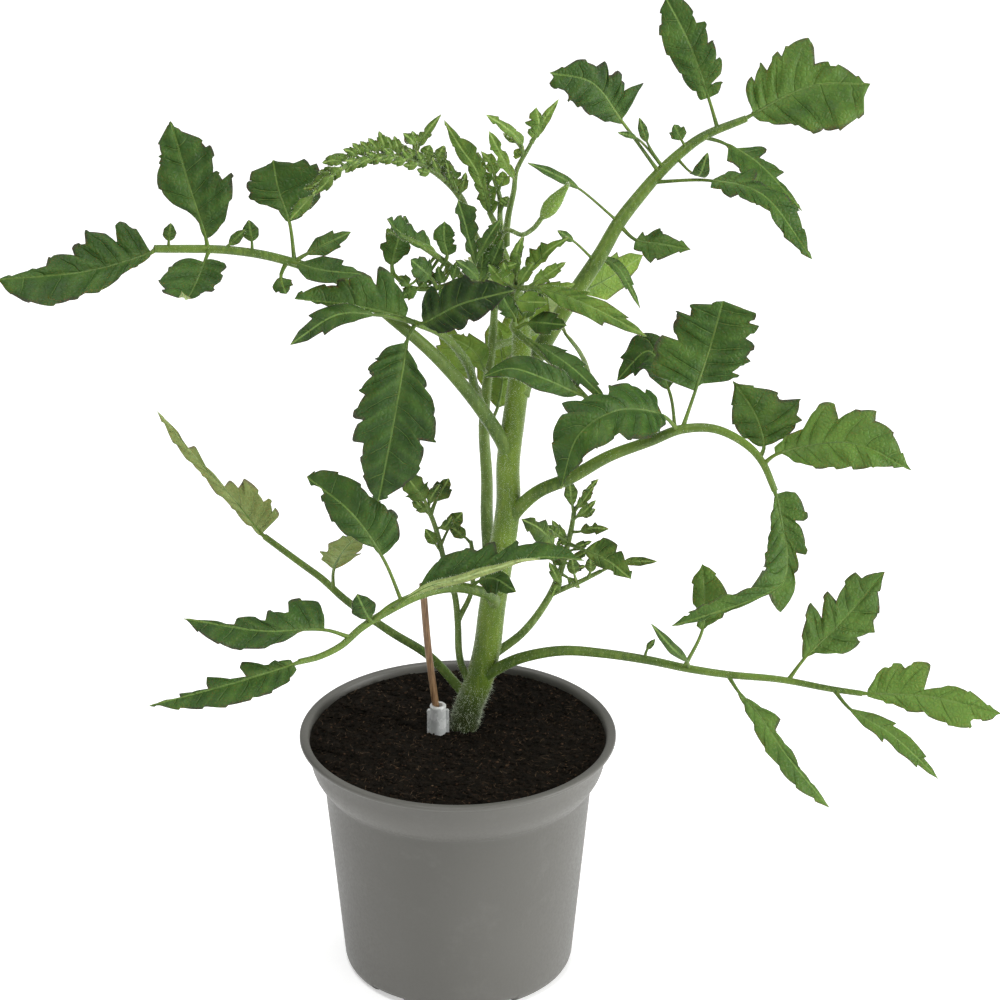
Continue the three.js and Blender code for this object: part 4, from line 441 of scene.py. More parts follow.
        plain([(-12, 0, 327), (-11, 0, 331), (-9, -1, 336)], (0, -0.95, 0.2), 6, 2.4, 0),
        plain([(-9, 2, 325), (-7, 2, 329), (-4, 1, 335)], (0, -0.95, 0.2), 6, 2, 0),
        comb=dict(start=0.4, end=0.97, pairs=9, length=[10, 9], half=1.5, spread=30, rise=45)),
    ],
    "crown_leaf_tip": [
      branch([(17, 10, 292), (15, 11, 299), (12, 12, 305)], [1.5, 1.2, 0.9],
        traced([(13, 12, 302), (12, 12, 305), (10, 11, 314), (7, 10, 323), (2, 9, 331), (-4, 8, 342)],
               (0, -0.95, 0.2), 12,
          (6, 22, 16, 34, 21, 22, 31, 36, 35, 24, 47, 34, 52, 24, 70, 32, 76, 22, 90, 14),
          (6, 16, 18, 26, 24, 16, 40, 30, 46, 30, 58, 46, 68, 48, 76, 34, 80, 18, 92, 12)),
        traced([(13, 14, 300), (13, 14, 303), (11, 14, 313), (9, 15, 321), (8, 16, 327)], (0, -0.95, 0.2), 12,
          (10, 14, 30, 16, 60, 16, 85, 16),
          (8, 26, 20, 42, 25, 26, 42, 42, 47, 24, 62, 38, 68, 22, 82, 30, 87, 14))),
      branch([(18, 11, 292), (16, 15, 300), (16, 17, 308), (14, 18, 315)], [1.2, 0.8],
        traced([(14, 18, 315), (14, 18, 317), (12, 18, 323), (9, 19, 326)], (0, -0.95, 0.2), 8,
          (20, 26, 45, 28, 52, 14, 75, 20),
          (15, 30, 40, 40, 46, 24, 70, 26, 76, 12)),
        plain([(15, 17, 311), (16, 17, 313), (17, 17, 316), (17, 17, 319)], (0, -0.95, 0.2), 8, 3, 1),
        plain([(16, 16, 303), (17, 15, 306), (19, 15, 310)], (0, -0.95, 0.2), 8, 2.2, 0)),
      branch([(18, 10, 293), (19, 10, 304), (21, 10, 314), (22, 10, 322), (26, 10, 330), (28, 10, 334)], [1.3,
             1, 0.7],
        plain([(28, 10, 333), (29, 10, 335), (32, 9, 342), (37, 8, 350)], (0, -0.95, 0.2), 10, (1.7, 1.9), 0),
        traced([(27, 10, 333), (28, 10, 334), (30, 9, 339), (29, 8, 347)], (0, -0.95, 0.2), 8,
          (10, 36, 28, 44, 36, 24, 48, 50, 60, 58, 65, 34, 85, 30, 94, 14),
          (15, 18, 50, 14, 80, 16)),
        traced([(24, 10, 327), (24, 9, 332), (21, 7, 337), (16, 5, 342), (11, 3, 346)], (0, -0.9, 0.4), 10,
          (10, 16, 40, 20, 75, 18),
          (12, 26, 30, 26, 36, 18, 60, 20, 85, 13)),
        plain([(24, 10, 329), (22, 9, 333), (17, 8, 337)], (0, -0.95, 0.2), 6, 1.4, 0),
        plain([(25, 11, 328), (24, 12, 327), (21, 12, 329)], (0, -0.95, 0.2), 8, 2.6, 1),
        traced([(22, 10, 316), (21, 9, 319), (18, 7, 326), (12, 5, 339)], (0, -0.95, 0.2), 12,
          (15, 18, 45, 30, 52, 20, 68, 30, 75, 22, 90, 16),
          (12, 18, 28, 24, 34, 16, 55, 26, 60, 16, 80, 20, 93, 13))),
    ],
    "crown_leaf_left": [
      branch([(22, 8, 266), (10, 5, 275), (-2, 1, 288), (-8, -6, 296), (-15, -14, 304), (-24, -23, 312)],
             [1.5, 1.2, 0.8],
        traced([(-7, -5, 296), (-9, -7, 299), (-16, -14, 305), (-21, -20, 311), (-24, -27, 318)],
               (0.3, -0.7, 0.6), 20,
          (10, 20, 50, 24, 80, 22),
          (8, 34, 20, 50, 27, 36, 45, 54, 52, 44, 62, 62, 74, 50, 80, 26, 93, 20)),
        traced([(-2, -4, 290), (-3, -5, 295), (-4, -6, 301), (-4, -7, 309)], (0, -0.95, 0.2), 10,
          (12, 22, 30, 30, 50, 40, 75, 40, 90, 24),
          (10, 40, 25, 50, 32, 30, 45, 44, 52, 36, 62, 50, 72, 36, 90, 24)),
        traced([(8, 0, 283), (7, -2, 290), (5, -5, 301), (3, -7, 310), (1, -9, 318)], (0, -0.95, 0.2), 14,
          (15, 16, 35, 24, 40, 16, 70, 22, 90, 22),
          (12, 18, 32, 26, 38, 20, 55, 46, 66, 42, 72, 56, 86, 54, 92, 30)),
        traced([(9, 0, 284), (8, -3, 293), (11, -6, 301), (16, -8, 310)], (0, -0.95, 0.2), 12,
          (20, 18, 42, 34, 50, 24, 70, 30, 85, 16),
          (15, 14, 45, 20, 70, 30, 80, 20, 92, 12))),
      branch([(2, 3, 282), (-8, -5, 282), (-17, -8, 284), (-23, -7, 289)], [1, 0.8],
        traced([(-23, -7, 288), (-23, -5, 291), (-21, -2, 299), (-18, 1, 308)], (0, -0.95, 0.2), 8,
          (6, 30, 20, 50, 35, 60, 42, 44, 60, 60, 66, 40, 85, 40, 94, 20),
          (8, 24, 25, 46, 45, 56, 55, 44, 75, 36, 93, 20)),
        plain([(-7, -4, 282), (-9, -9, 288), (-16, -14, 297)], (0.2, -0.8, 0.5), 8, 5, 2),
        plain([(11, -4, 283), (8, -6, 286), (5, -9, 291), (0, -12, 296)], (0, -0.8, 0.6), 10, 3, 1)),
    ],
    "crown_leaf_front": [
      branch([(21, 8, 276), (22, 2, 279), (26, -4, 282)], [1.4, 1],
        plain([(25, -3, 281), (30, -7, 283), (48, -26, 284), (68, -44, 280)], (0, -0.6, 0.8), 14, (5, 6),
              (2, 1)),
        traced([(24, 2, 282), (26, 2, 285), (30, 2, 290), (34, 1, 295), (41, 0, 300)], (0.1, -0.8, 0.6), 8,
          (10, 36, 20, 50, 27, 40, 36, 60, 42, 40, 55, 44, 62, 22, 85, 16),
          (15, 16, 50, 20, 85, 12)),
        traced([(23, 3, 281), (23, 1, 288), (22, 0, 293), (24, -1, 301)], (0, -0.95, 0.2), 8,
          (12, 14, 28, 34, 35, 16, 70, 16),
          (20, 18, 55, 20, 85, 14)),
        plain([(23, 0, 279), (22, -8, 279), (33, -16, 281)], (0, -0.8, 0.6), 8, 4.5, 1),
        plain([(18, 3, 280), (15, 0, 285), (18, -2, 289), (22, -3, 291)], (0, -0.8, 0.6), 8, (3, 3.2), 1),
        traced([(17, 5, 280), (15, 4, 286), (13, 2, 294), (11, 1, 300)], (0, -0.95, 0.2), 8,
          (15, 20, 50, 24, 85, 14),
          (12, 26, 40, 42, 50, 30, 60, 40, 68, 22, 88, 14))),
    ],
    "crown_leaf_right": [
      branch([(24, 7, 262), (21, -1, 266), (22, -10, 267), (31, -18, 262), (40, -25, 256), (47, -30, 250)],
             [1.5, 1.2, 0.9],
        plain([(46, -29, 251), (44, -31, 252), (32, -36, 260), (20, -36, 264), (10, -32, 259)],
              (0, -0.75, 0.65), 12, (5, 6), 0),
        plain([(24, -12, 266), (29, -16, 265), (42, -24, 259), (54, -30, 249)], (0.5, -0.7, 0.5), 12, 5,
              (3, 1)),
        plain([(22, -8, 267), (26, -11, 271), (40, -20, 274)], (0, -0.7, 0.7), 8, 5, 1)),
    ],
}

# Further small leaflets: x, y and z of the root, x and z of the middle and of the tip, half width, teeth
SPRIGS = {
    "crown_leaf_arching": [
      (-42.3, -25, 335.7, -45.8, 333.1, -50.4, 330.2, 3, 2),
      (-40.6, -23, 336.1, -44.1, 334.6, -48.3, 334.7, 2.5, 1),
      (-38.9, -21, 336, -42.3, 338.3, -46.9, 337.4, 2.5, 2),
      (-36.5, -18, 336, -40.7, 338.3, -44.9, 338.5, 1.6, 0),
      (-33.7, -16, 336.4, -36.4, 339.4, -39.6, 340.7, 2, 1),
      (-32, -14, 336, -33.7, 339.4, -36.4, 342.3, 2, 1),
      (-29.5, -12, 335.6, -30.9, 339.4, -33.7, 342.2, 2, 1),
      (-27.1, -11, 335.6, -28.1, 339.4, -30.8, 343, 2.2, 1),
      (-24.6, -9, 334.8, -25.3, 339.4, -27, 344.9, 2.4, 2),
      (-22.5, -8, 334.4, -22.8, 339, -24.5, 342.6, 2.2, 1),
      (-20.1, -6, 333.3, -20.4, 337.5, -21.7, 341.9, 2.2, 2),
      (-18, -4, 332.1, -18.3, 335.6, -19.7, 338.4, 2, 1),
      (-15.8, -3, 331.4, -15.4, 334, -16.5, 336.1, 1.8, 1),
      (-13.4, -1, 329.4, -12.6, 332.1, -13.3, 334.2, 1.8, 1),
      (-9.9, 2, 326.4, -9.1, 330.6, -8.7, 335, 2.2, 1), (-7, 4, 323.7, -5.2, 328.7, -3.7, 334.2, 2.4, 2),
      (-14, -2, 335.2, -15.4, 338.6, -18.6, 341.5, 2, 1), (-13.3, -1, 335.2, -14.4, 339, -15.4, 341.9, 2, 1),
      (-33.6, -19, 337.2, -36.4, 335.7, -38.9, 332.8, 2.2, 1),
      (-29.4, -16, 336.8, -32.2, 336, -35.4, 333.5, 2.2, 1),
      (-25.2, -13, 336, -28.1, 335.6, -31.3, 334.3, 2.2, 1),
      (-21, -10, 334.8, -23.9, 334.5, -27.1, 333.5, 2.2, 1),
      (-16.8, -7, 332.9, -19.7, 332.5, -22.9, 332, 2, 1), (-12.6, -4, 330.2, -15.5, 329.8, -18.7, 330, 2, 1),
      (-8.4, 0, 326, -10.9, 325.6, -13.8, 327, 2, 1), (-38.8, -24, 336.8, -41.9, 334.9, -45.5, 332.1, 2.6, 1),
      (-41.9, -27, 335.7, -45.1, 332.3, -48.6, 328.7, 2.6, 1),
      (-0.3, 8, 315.2, -2.7, 322.5, -4.9, 328.9, 3.4, 2), (1.2, 10, 312, 2.6, 316.3, 3.7, 321.9, 2.2, 1),
    ],
    "crown_leaf_left": [
      (-5.7, -4, 282.6, -9.3, 286.9, -12.9, 289.5, 2.6, 1), (-3.9, -4, 283, -5.7, 286.9, -6.4, 291.1, 2.4, 1),
      (-9.3, -6, 282.7, -12.2, 285.8, -13.9, 289.5, 2.4, 1),
      (-1.4, -1, 282.9, -0.3, 287.3, 0.5, 291.8, 2.2, 1),
      (-12.9, -8, 283.5, -16.5, 282.4, -20.1, 280.6, 3, 1),
      (-15.8, -9, 284.3, -18.6, 287.5, -20.7, 289.2, 2.6, 1), (8.7, 2, 279.3, 9.5, 285.2, 9.8, 291.7, 2.4, 1),
      (8.4, 1, 280.1, 9.5, 289.6, 10.2, 298, 3, 2), (9.1, 1, 280.1, 13.1, 289.6, 17.1, 299.9, 3.6, 2),
      (8.7, 2, 280.9, 12.4, 293.8, 16.7, 306.5, 3.4, 2), (-7.2, -5, 282.3, -3.5, 280.3, 0.1, 278.2, 3.4, 1),
    ],
    "crown_leaf_front": [
      (21.1, 0, 279.8, 16, 284.5, 11.7, 290.2, 3, 1), (21.1, -1, 280.2, 18.9, 285.7, 17.1, 291.4, 2.8, 1),
      (21.5, 2, 278.9, 21.1, 289.2, 24.7, 300.7, 2.6, 2), (25.8, -5, 282.6, 32.3, 287.4, 39.8, 293, 3, 2),
      (25.8, -6, 283.1, 34.1, 282.3, 43.1, 284.9, 3.2, 1),
      (21.8, -1, 280.6, 24.7, 285.7, 28.3, 291.4, 2.6, 1),
    ],
    "crown_leaf_right": [
      (23.6, 0, 265.2, 26.9, 275.1, 32.3, 282.8, 4.5, 2), (22.6, -1, 266, 18.9, 273.9, 16, 280.4, 4, 2),
    ],
    "shoot_back": [
      (11.6, 18, 237, 6.8, 247.5, -3.2, 254.5, 6, 1),
    ],
    "shoot_right": [
      (39.7, 13, 152.4, 37.1, 158.3, 34.4, 164, 2.2, 1), (40.9, 18, 157.5, 37.1, 163, 33.3, 166.6, 2.4, 2),
      (41.6, 17, 162.1, 45.4, 164.3, 49.8, 167.1, 1.8, 1), (42, 18, 165, 46.1, 168, 50.6, 170.3, 1.8, 1),
      (42.4, 19, 169.5, 38.6, 173.4, 35.5, 178.6, 2.2, 1), (43.1, 19, 177.9, 47.5, 181.7, 52, 186.9, 2, 1),
      (43.8, 19, 181.2, 47.5, 186.7, 51.2, 192.7, 2.2, 2), (43.4, 20, 181.6, 43, 187, 43.7, 192.2, 2, 1),
      (41.3, 17, 160.9, 44.6, 159.3, 48.4, 160.4, 1.8, 1),
      (40.5, 16, 156.3, 43.2, 153.9, 46.2, 151.6, 1.8, 1),
      (40.1, 14, 155.2, 37.1, 152.4, 35.6, 148.8, 1.8, 1),
      (42.4, 18, 167.9, 39.3, 170.1, 37.1, 168.7, 1.8, 1),
    ],
    "shoot_left": [
      (-7.9, 11, 178, -4.2, 179.7, -1.9, 184.1, 2.2, 1), (-10.2, 11, 183.8, -13.8, 188, -16.8, 192.3, 2.6, 2),
      (-10.9, 11, 186.7, -9.3, 192.1, -6.3, 197.2, 2.4, 1), (-4.3, 11, 163, -2, 165.6, 0.3, 167.5, 1.8, 1),
    ],
}

BUD_STALK = [(17, 10, 286), (16, 5, 298), (19, 2, 302), (24, 0, 301), (28, 1, 303), (31, 1, 307)]
BUD_STALK_RADII = [1.1, 0.8, 0.9]
BUD_TIP = (41, -2, 322)
BUD_PROFILE = [(-0.07, 0.4), (0, 0.8), (0.12, 2), (0.3, 2.9), (0.5, 2.6), (0.72, 1.6), (0.9, 0.8), (1, 0.05)]

SUPPORT_STICK = [(-7.5, 4, 62), (-7.5, 4, 98), (-9, 4.5, 112), (-11, 5, 130), (-13, 5, 158)]


class Way:
    """A smooth way through points, walked by share of its length."""

    def __init__(self, points, fine=60):
        points = [np.asarray(point, float) for point in points]
        ends = [2 * points[0] - points[1], *points, 2 * points[-1] - points[-2]]
        steps = np.linspace(0, 1, fine, endpoint=False)[:, None]
        rows = []
        for i in range(len(points) - 1):
            p0, p1, p2, p3 = ends[i:i + 4]
            d0, d1, d2 = (max(np.linalg.norm(b - a), 1e-6) ** 0.5 for a, b in ((p0, p1), (p1, p2), (p2, p3)))
            t1 = ((p1 - p0) / d0 - (p2 - p0) / (d0 + d1) + (p2 - p1) / d1) * d1
            t2 = ((p2 - p1) / d1 - (p3 - p1) / (d1 + d2) + (p3 - p2) / d2) * d1
            c2 = 3 * (p2 - p1) - 2 * t1 - t2
            c3 = 2 * (p1 - p2) + t1 + t2
            rows.append(p1 + steps * (t1 + steps * (c2 + steps * c3)))
        rows.append(points[-1][None])
        self.points = np.concatenate(rows)
        gaps = np.linalg.norm(np.diff(self.points, axis=0), axis=1)
        self.lengths = np.concatenate([[0], np.cumsum(gaps)])
        self.length = self.lengths[-1]
        self.knots = self.lengths[::fine] / self.length

    def at(self, share):
        along = np.clip(np.asarray(share, float), 0, 1) * self.length
        return np.stack([np.interp(along, self.lengths, self.points[:, k]) for k in range(3)], -1)

    def tangent(self, share):
        share = np.asarray(share, float)
        step = 0.01
        ahead = self.at(np.minimum(share + step, 1)) - self.at(np.maximum(share - step, 0))
        return ahead / np.linalg.norm(ahead, axis=-1, keepdims=True)


def unit(vectors):
    return vectors / np.maximum(np.linalg.norm(vectors, axis=-1, keepdims=True), 1e-9)


def link(thing):
    bpy.context.scene.collection.objects.link(thing)


class Shape:
    """Gathers the faces of one piece, in millimetres, and for each corner what the blades' materials read:
    in blade the vein it lies at, its reach from the midrib and its share of the length, and in tone the
    leaflet's lightness, which is partly painted light, how far out it lies and the veins' spacing."""

    def __init__(self):
        self.corners, self.faces, self.slots = [], [], []
        self.blade, self.tone = [], []
        self.count = 0

    def add(self, corners, faces, slot, blade=None, tone=None):
        corners = np.asarray(corners, float).reshape(-1, 3)
        nothing = np.zeros((len(corners), 3))
        self.corners.append(corners)
        self.blade.append(nothing if blade is None else np.asarray(blade, float).reshape(-1, 3))
        self.tone.append(nothing if tone is None else np.asarray(tone, float).reshape(-1, 3))
        faces = np.asarray(faces, int)
        self.faces.append(faces + self.count)
        self.slots.append(np.full(len(faces), slot))
        self.count += len(corners)

    def piece(self, name, materials, slot_name, *nodes, flat=()):
        corners = np.concatenate(self.corners) * MM
        sizes = np.concatenate([np.full(len(faces), faces.shape[1]) for faces in self.faces])
        loops = np.concatenate([faces.ravel() for faces in self.faces])
        slots = np.concatenate(self.slots)
        mesh = bpy.data.meshes.new(name)
        mesh.vertices.add(len(corners))
        mesh.vertices.foreach_set("co", corners.ravel())
        mesh.loops.add(len(loops))
        mesh.loops.foreach_set("vertex_index", loops)
        mesh.polygons.add(len(sizes))
        mesh.polygons.foreach_set("loop_start", np.concatenate([[0], np.cumsum(sizes)[:-1]]))
        mesh.polygons.foreach_set("material_index", slots)
        mesh.polygons.foreach_set("use_smooth", ~np.isin(slots, flat))
        for key, rows in (("blade", self.blade), ("tone", self.tone)):
            layer = mesh.attributes.new(key, "FLOAT_VECTOR", "POINT")
            layer.data.foreach_set("vector", np.concatenate(rows).ravel())
        mesh.update(calc_edges=True)
        mesh.validate()
        for material in materials:
            mesh.materials.append(material)
        piece = bpy.data.objects.new(name, mesh)
        link(piece)
        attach(piece, "root")
        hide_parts(*nodes)


def grid_faces(rows, columns, closed=False):
    """Quads between rows of corners, each row with the same number of columns."""
    last = columns if closed else columns - 1
    i, j = np.meshgrid(np.arange(rows - 1), np.arange(last), indexing="ij")
    a = (i * columns + j).ravel()
    b = (i * columns + (j + 1) % columns).ravel()
    return np.stack([a, b, b + columns, a + columns], -1)


def tube_frames(way, shares):
    """Centre, tangent and two directions across, carried along without twist."""
    centres, along = way.at(shares), way.tangent(shares)
    first = np.cross(along[0], [0.3, 0.9, 0.1])
    sides = [first / np.linalg.norm(first)]
    for tangent in along[1:]:
        side = sides[-1] - tangent * (sides[-1] @ tangent)
        sides.append(side / np.linalg.norm(side))
    sides = np.array(sides)
    return centres, along, sides, np.cross(along, sides)


def radius_at(way, shares, radii, flare):
    """A tube's radius at shares of its way. The radii are evenly spaced, and flare widens the root."""
    radius = np.interp(shares, np.linspace(0, 1, len(radii)), radii)
    return radius * (1 + flare * np.exp(-shares * way.length / FLARE_LENGTH))


def tube(shape, way, radii, sides, slot, step=1.6, flare=0.0, tone=0.5, ribs=0.0, tail=(2, 0)):
    """A round tube along a way. Past the share of its length given first in tail, it takes the other slot
    given there."""
    rows = max(4, int(way.length / step))
    shares = np.linspace(0, 1, rows)
    centres, along, across, up = tube_frames(way, shares)
    radius = radius_at(way, shares, radii, flare)
    turns = np.linspace(0, 2 * math.pi, sides, endpoint=False)
    wave = 1 + ribs * np.cos(turns * 5)[None] + ribs * 0.6 * np.sin(turns * 3 + shares[:, None] * 9)
    reach = radius[:, None] * wave
    corners = centres[:, None] + reach[..., None] * (
        np.cos(turns)[None, :, None] * across[:, None] + np.sin(turns)[None, :, None] * up[:, None])
    slots = np.where(np.repeat(shares[:-1], sides) > tail[0], tail[1], slot)
    shape.add(corners, grid_faces(rows, sides, closed=True), slots, None, np.full((rows * sides, 3), tone))
    for row, order in ((0, -1), (rows - 1, 1)):
        fan = [[sides, j, (j + 1) % sides][::order] for j in range(sides)]
        middle = centres[row] + along[row] * order * radius[row] * 0.4
        end_slot = tail[1] if shares[row] > tail[0] else slot
        shape.add([*corners[row], middle], fan, end_slot)


def hairs(shape, way, radii, density, length, rng, droop=0.25, flare=0.0):
    """Fine hairs that stand on a tube, each a thin sliver."""
    count = int(2 * math.pi * float(np.mean(radii)) * way.length * density)
    shares = rng.random(count)
    _, _, across, up = tube_frames(way, np.linspace(0, 1, HAIR_ROWS))
    index = np.clip((shares * (HAIR_ROWS - 1)).astype(int), 0, HAIR_ROWS - 1)
    turn = rng.random(count) * 2 * math.pi
    out = np.cos(turn)[:, None] * across[index] + np.sin(turn)[:, None] * up[index]
    root = way.at(shares) + out * (radius_at(way, shares, radii, flare) * 0.97)[:, None]
    heading = unit(out + rng.normal(0, droop, (count, 3)))
    slivers(shape, root, heading, length * rng.uniform(0.4, 1.25, count), rng)


def slivers(shape, root, heading, length, rng, width=HAIR_WIDTH):
    """Thin pointed hairs at the roots given."""
    count = len(root)
    side = unit(np.cross(heading, rng.normal(0, 1, (count, 3)))) * width
    tip = root + heading * length[:, None]
    corners = np.stack([root - side, root + side, tip], 1).reshape(-1, 3)
    shape.add(corners, np.arange(count * 3).reshape(-1, 3), HAIR)


def ovate(share, widest):
    """How far an oval reaches at shares of its length, widest at the share given."""
    bent = np.clip(share, 0, 1) ** (math.log(0.5) / math.log(widest))
    return np.sin(math.pi * bent) ** 0.85


def blade_edge(half, teeth, widest, rng):
    """One edge of an oval blade: at even steps t its share of the blade's length and its reach, then the
    steps where veins end in it and those where it turns sharply."""
    t = np.linspace(0, 1, 240)
    if teeth == 0:
        ripple = 1 + EDGE_RIPPLE * np.sin(t * 17 + rng.random() * 6)
        return t, t, half * ovate(t, widest) * ripple, [0.3, 0.6, 0.85], []
    keys = [(0, 0, 0.0), (0.05, 0.05, half * ovate(0.05, widest) * 0.7)]
    lobes = []
    low = 0.05
    for tooth in range(teeth):
        tip = 0.12 + 0.76 * (tooth + 0.72) / teeth
        span = tip - low
        reach = half * ovate(tip, widest)
        belly = low + span * 0.42
        keys.append((belly, belly + 0.01, half * ovate(belly, widest) * 0.97))
        shoulder = low + span * 0.72
        keys.append((shoulder, shoulder + 0.03, half * ovate(shoulder, widest) * 0.9))
        keys.append((tip - 0.01, tip + 0.025, reach * 1.08))
        keys.append((tip + 0.03, tip + 0.012, reach * (1 - TOOTH_DEPTH)))
        lobes.append(tip)
        low = tip + 0.03
    rest = (low + 1) / 2
    keys.append((rest, rest, half * ovate(rest, widest) * 1.02))
    keys.append((1, 1, 0.0))
    keys = np.array(keys)
    share = np.interp(t, keys[:, 0], keys[:, 1])
    reach = np.interp(t, keys[:, 0], keys[:, 2])
    small = np.sin(t * math.pi * teeth * 5 + rng.random() * 6)
    reach = reach * (1 + TOOTH_RIPPLE * small)
    kernel = np.array([1, 2, 3, 4, 3, 2, 1]) / 16
    smooth = np.convolve(np.pad(reach, 3, mode="edge"), kernel, mode="valid")
    smooth[0], smooth[-1] = 0, 0
    return t, share, smooth, lobes, [lobe + step for lobe in lobes for step in TOOTH_ROWS]


def lobed_edge(points, length, rng):
    """The same for an edge through points of share and reach: round lobes, sharp notches, fine teeth."""
    keys = np.array([(0, 0.0), *points, (1, 0.0)])
    chords = np.hypot(np.diff(keys[:, 0]) * length, np.diff(keys[:, 1]))
    walked = np.concatenate([[0], np.cumsum(chords)])
    knots = (np.maximum.accumulate(keys[:, 0]) + walked / walked[-1]) / 2
    t = np.linspace(0, 1, 720)
    share = np.interp(t, knots, keys[:, 0])
    reach = np.interp(t, knots, keys[:, 1])
    place = np.clip(np.searchsorted(knots, t, side="right") - 1, 0, len(keys) - 2)
    within = (t - knots[place]) / (knots[place + 1] - knots[place])
    rising = keys[place + 1, 1] > keys[place, 1] - chords[place] * 0.5
    reach += np.where(rising, LOBE_SWELL, 0.0) * chords[place] * np.sin(math.pi * within)
    travel = np.interp(t, knots, walked)
    reach -= FINE_TEETH * (travel / FINE_TEETH_SPACING + rng.random()) % 1 * np.minimum(1, reach / 2)
    kernel = [0.08, 0.24, 0.36, 0.24, 0.08]
    reach = np.convolve(np.pad(reach, 2, mode="edge"), kernel, mode="valid")
    share = np.convolve(np.pad(share, 2, mode="edge"), kernel, mode="valid")
    reach[0], reach[-1] = 0, 0
    share[0], share[-1] = 0, 1
    lobes = [0.05]
    for knot, a, b, c in zip(knots[1:], keys, keys[1:], keys[2:]):
        if b[1] > a[1] and b[1] >= c[1] and knot - lobes[-1] > 0.08:
            lobes.append(knot)
    reach = np.maximum(reach, 0)
    return t, share, reach, lobes[1:] or [0.5], [knot + step for knot in knots for step in POINT_ROWS]


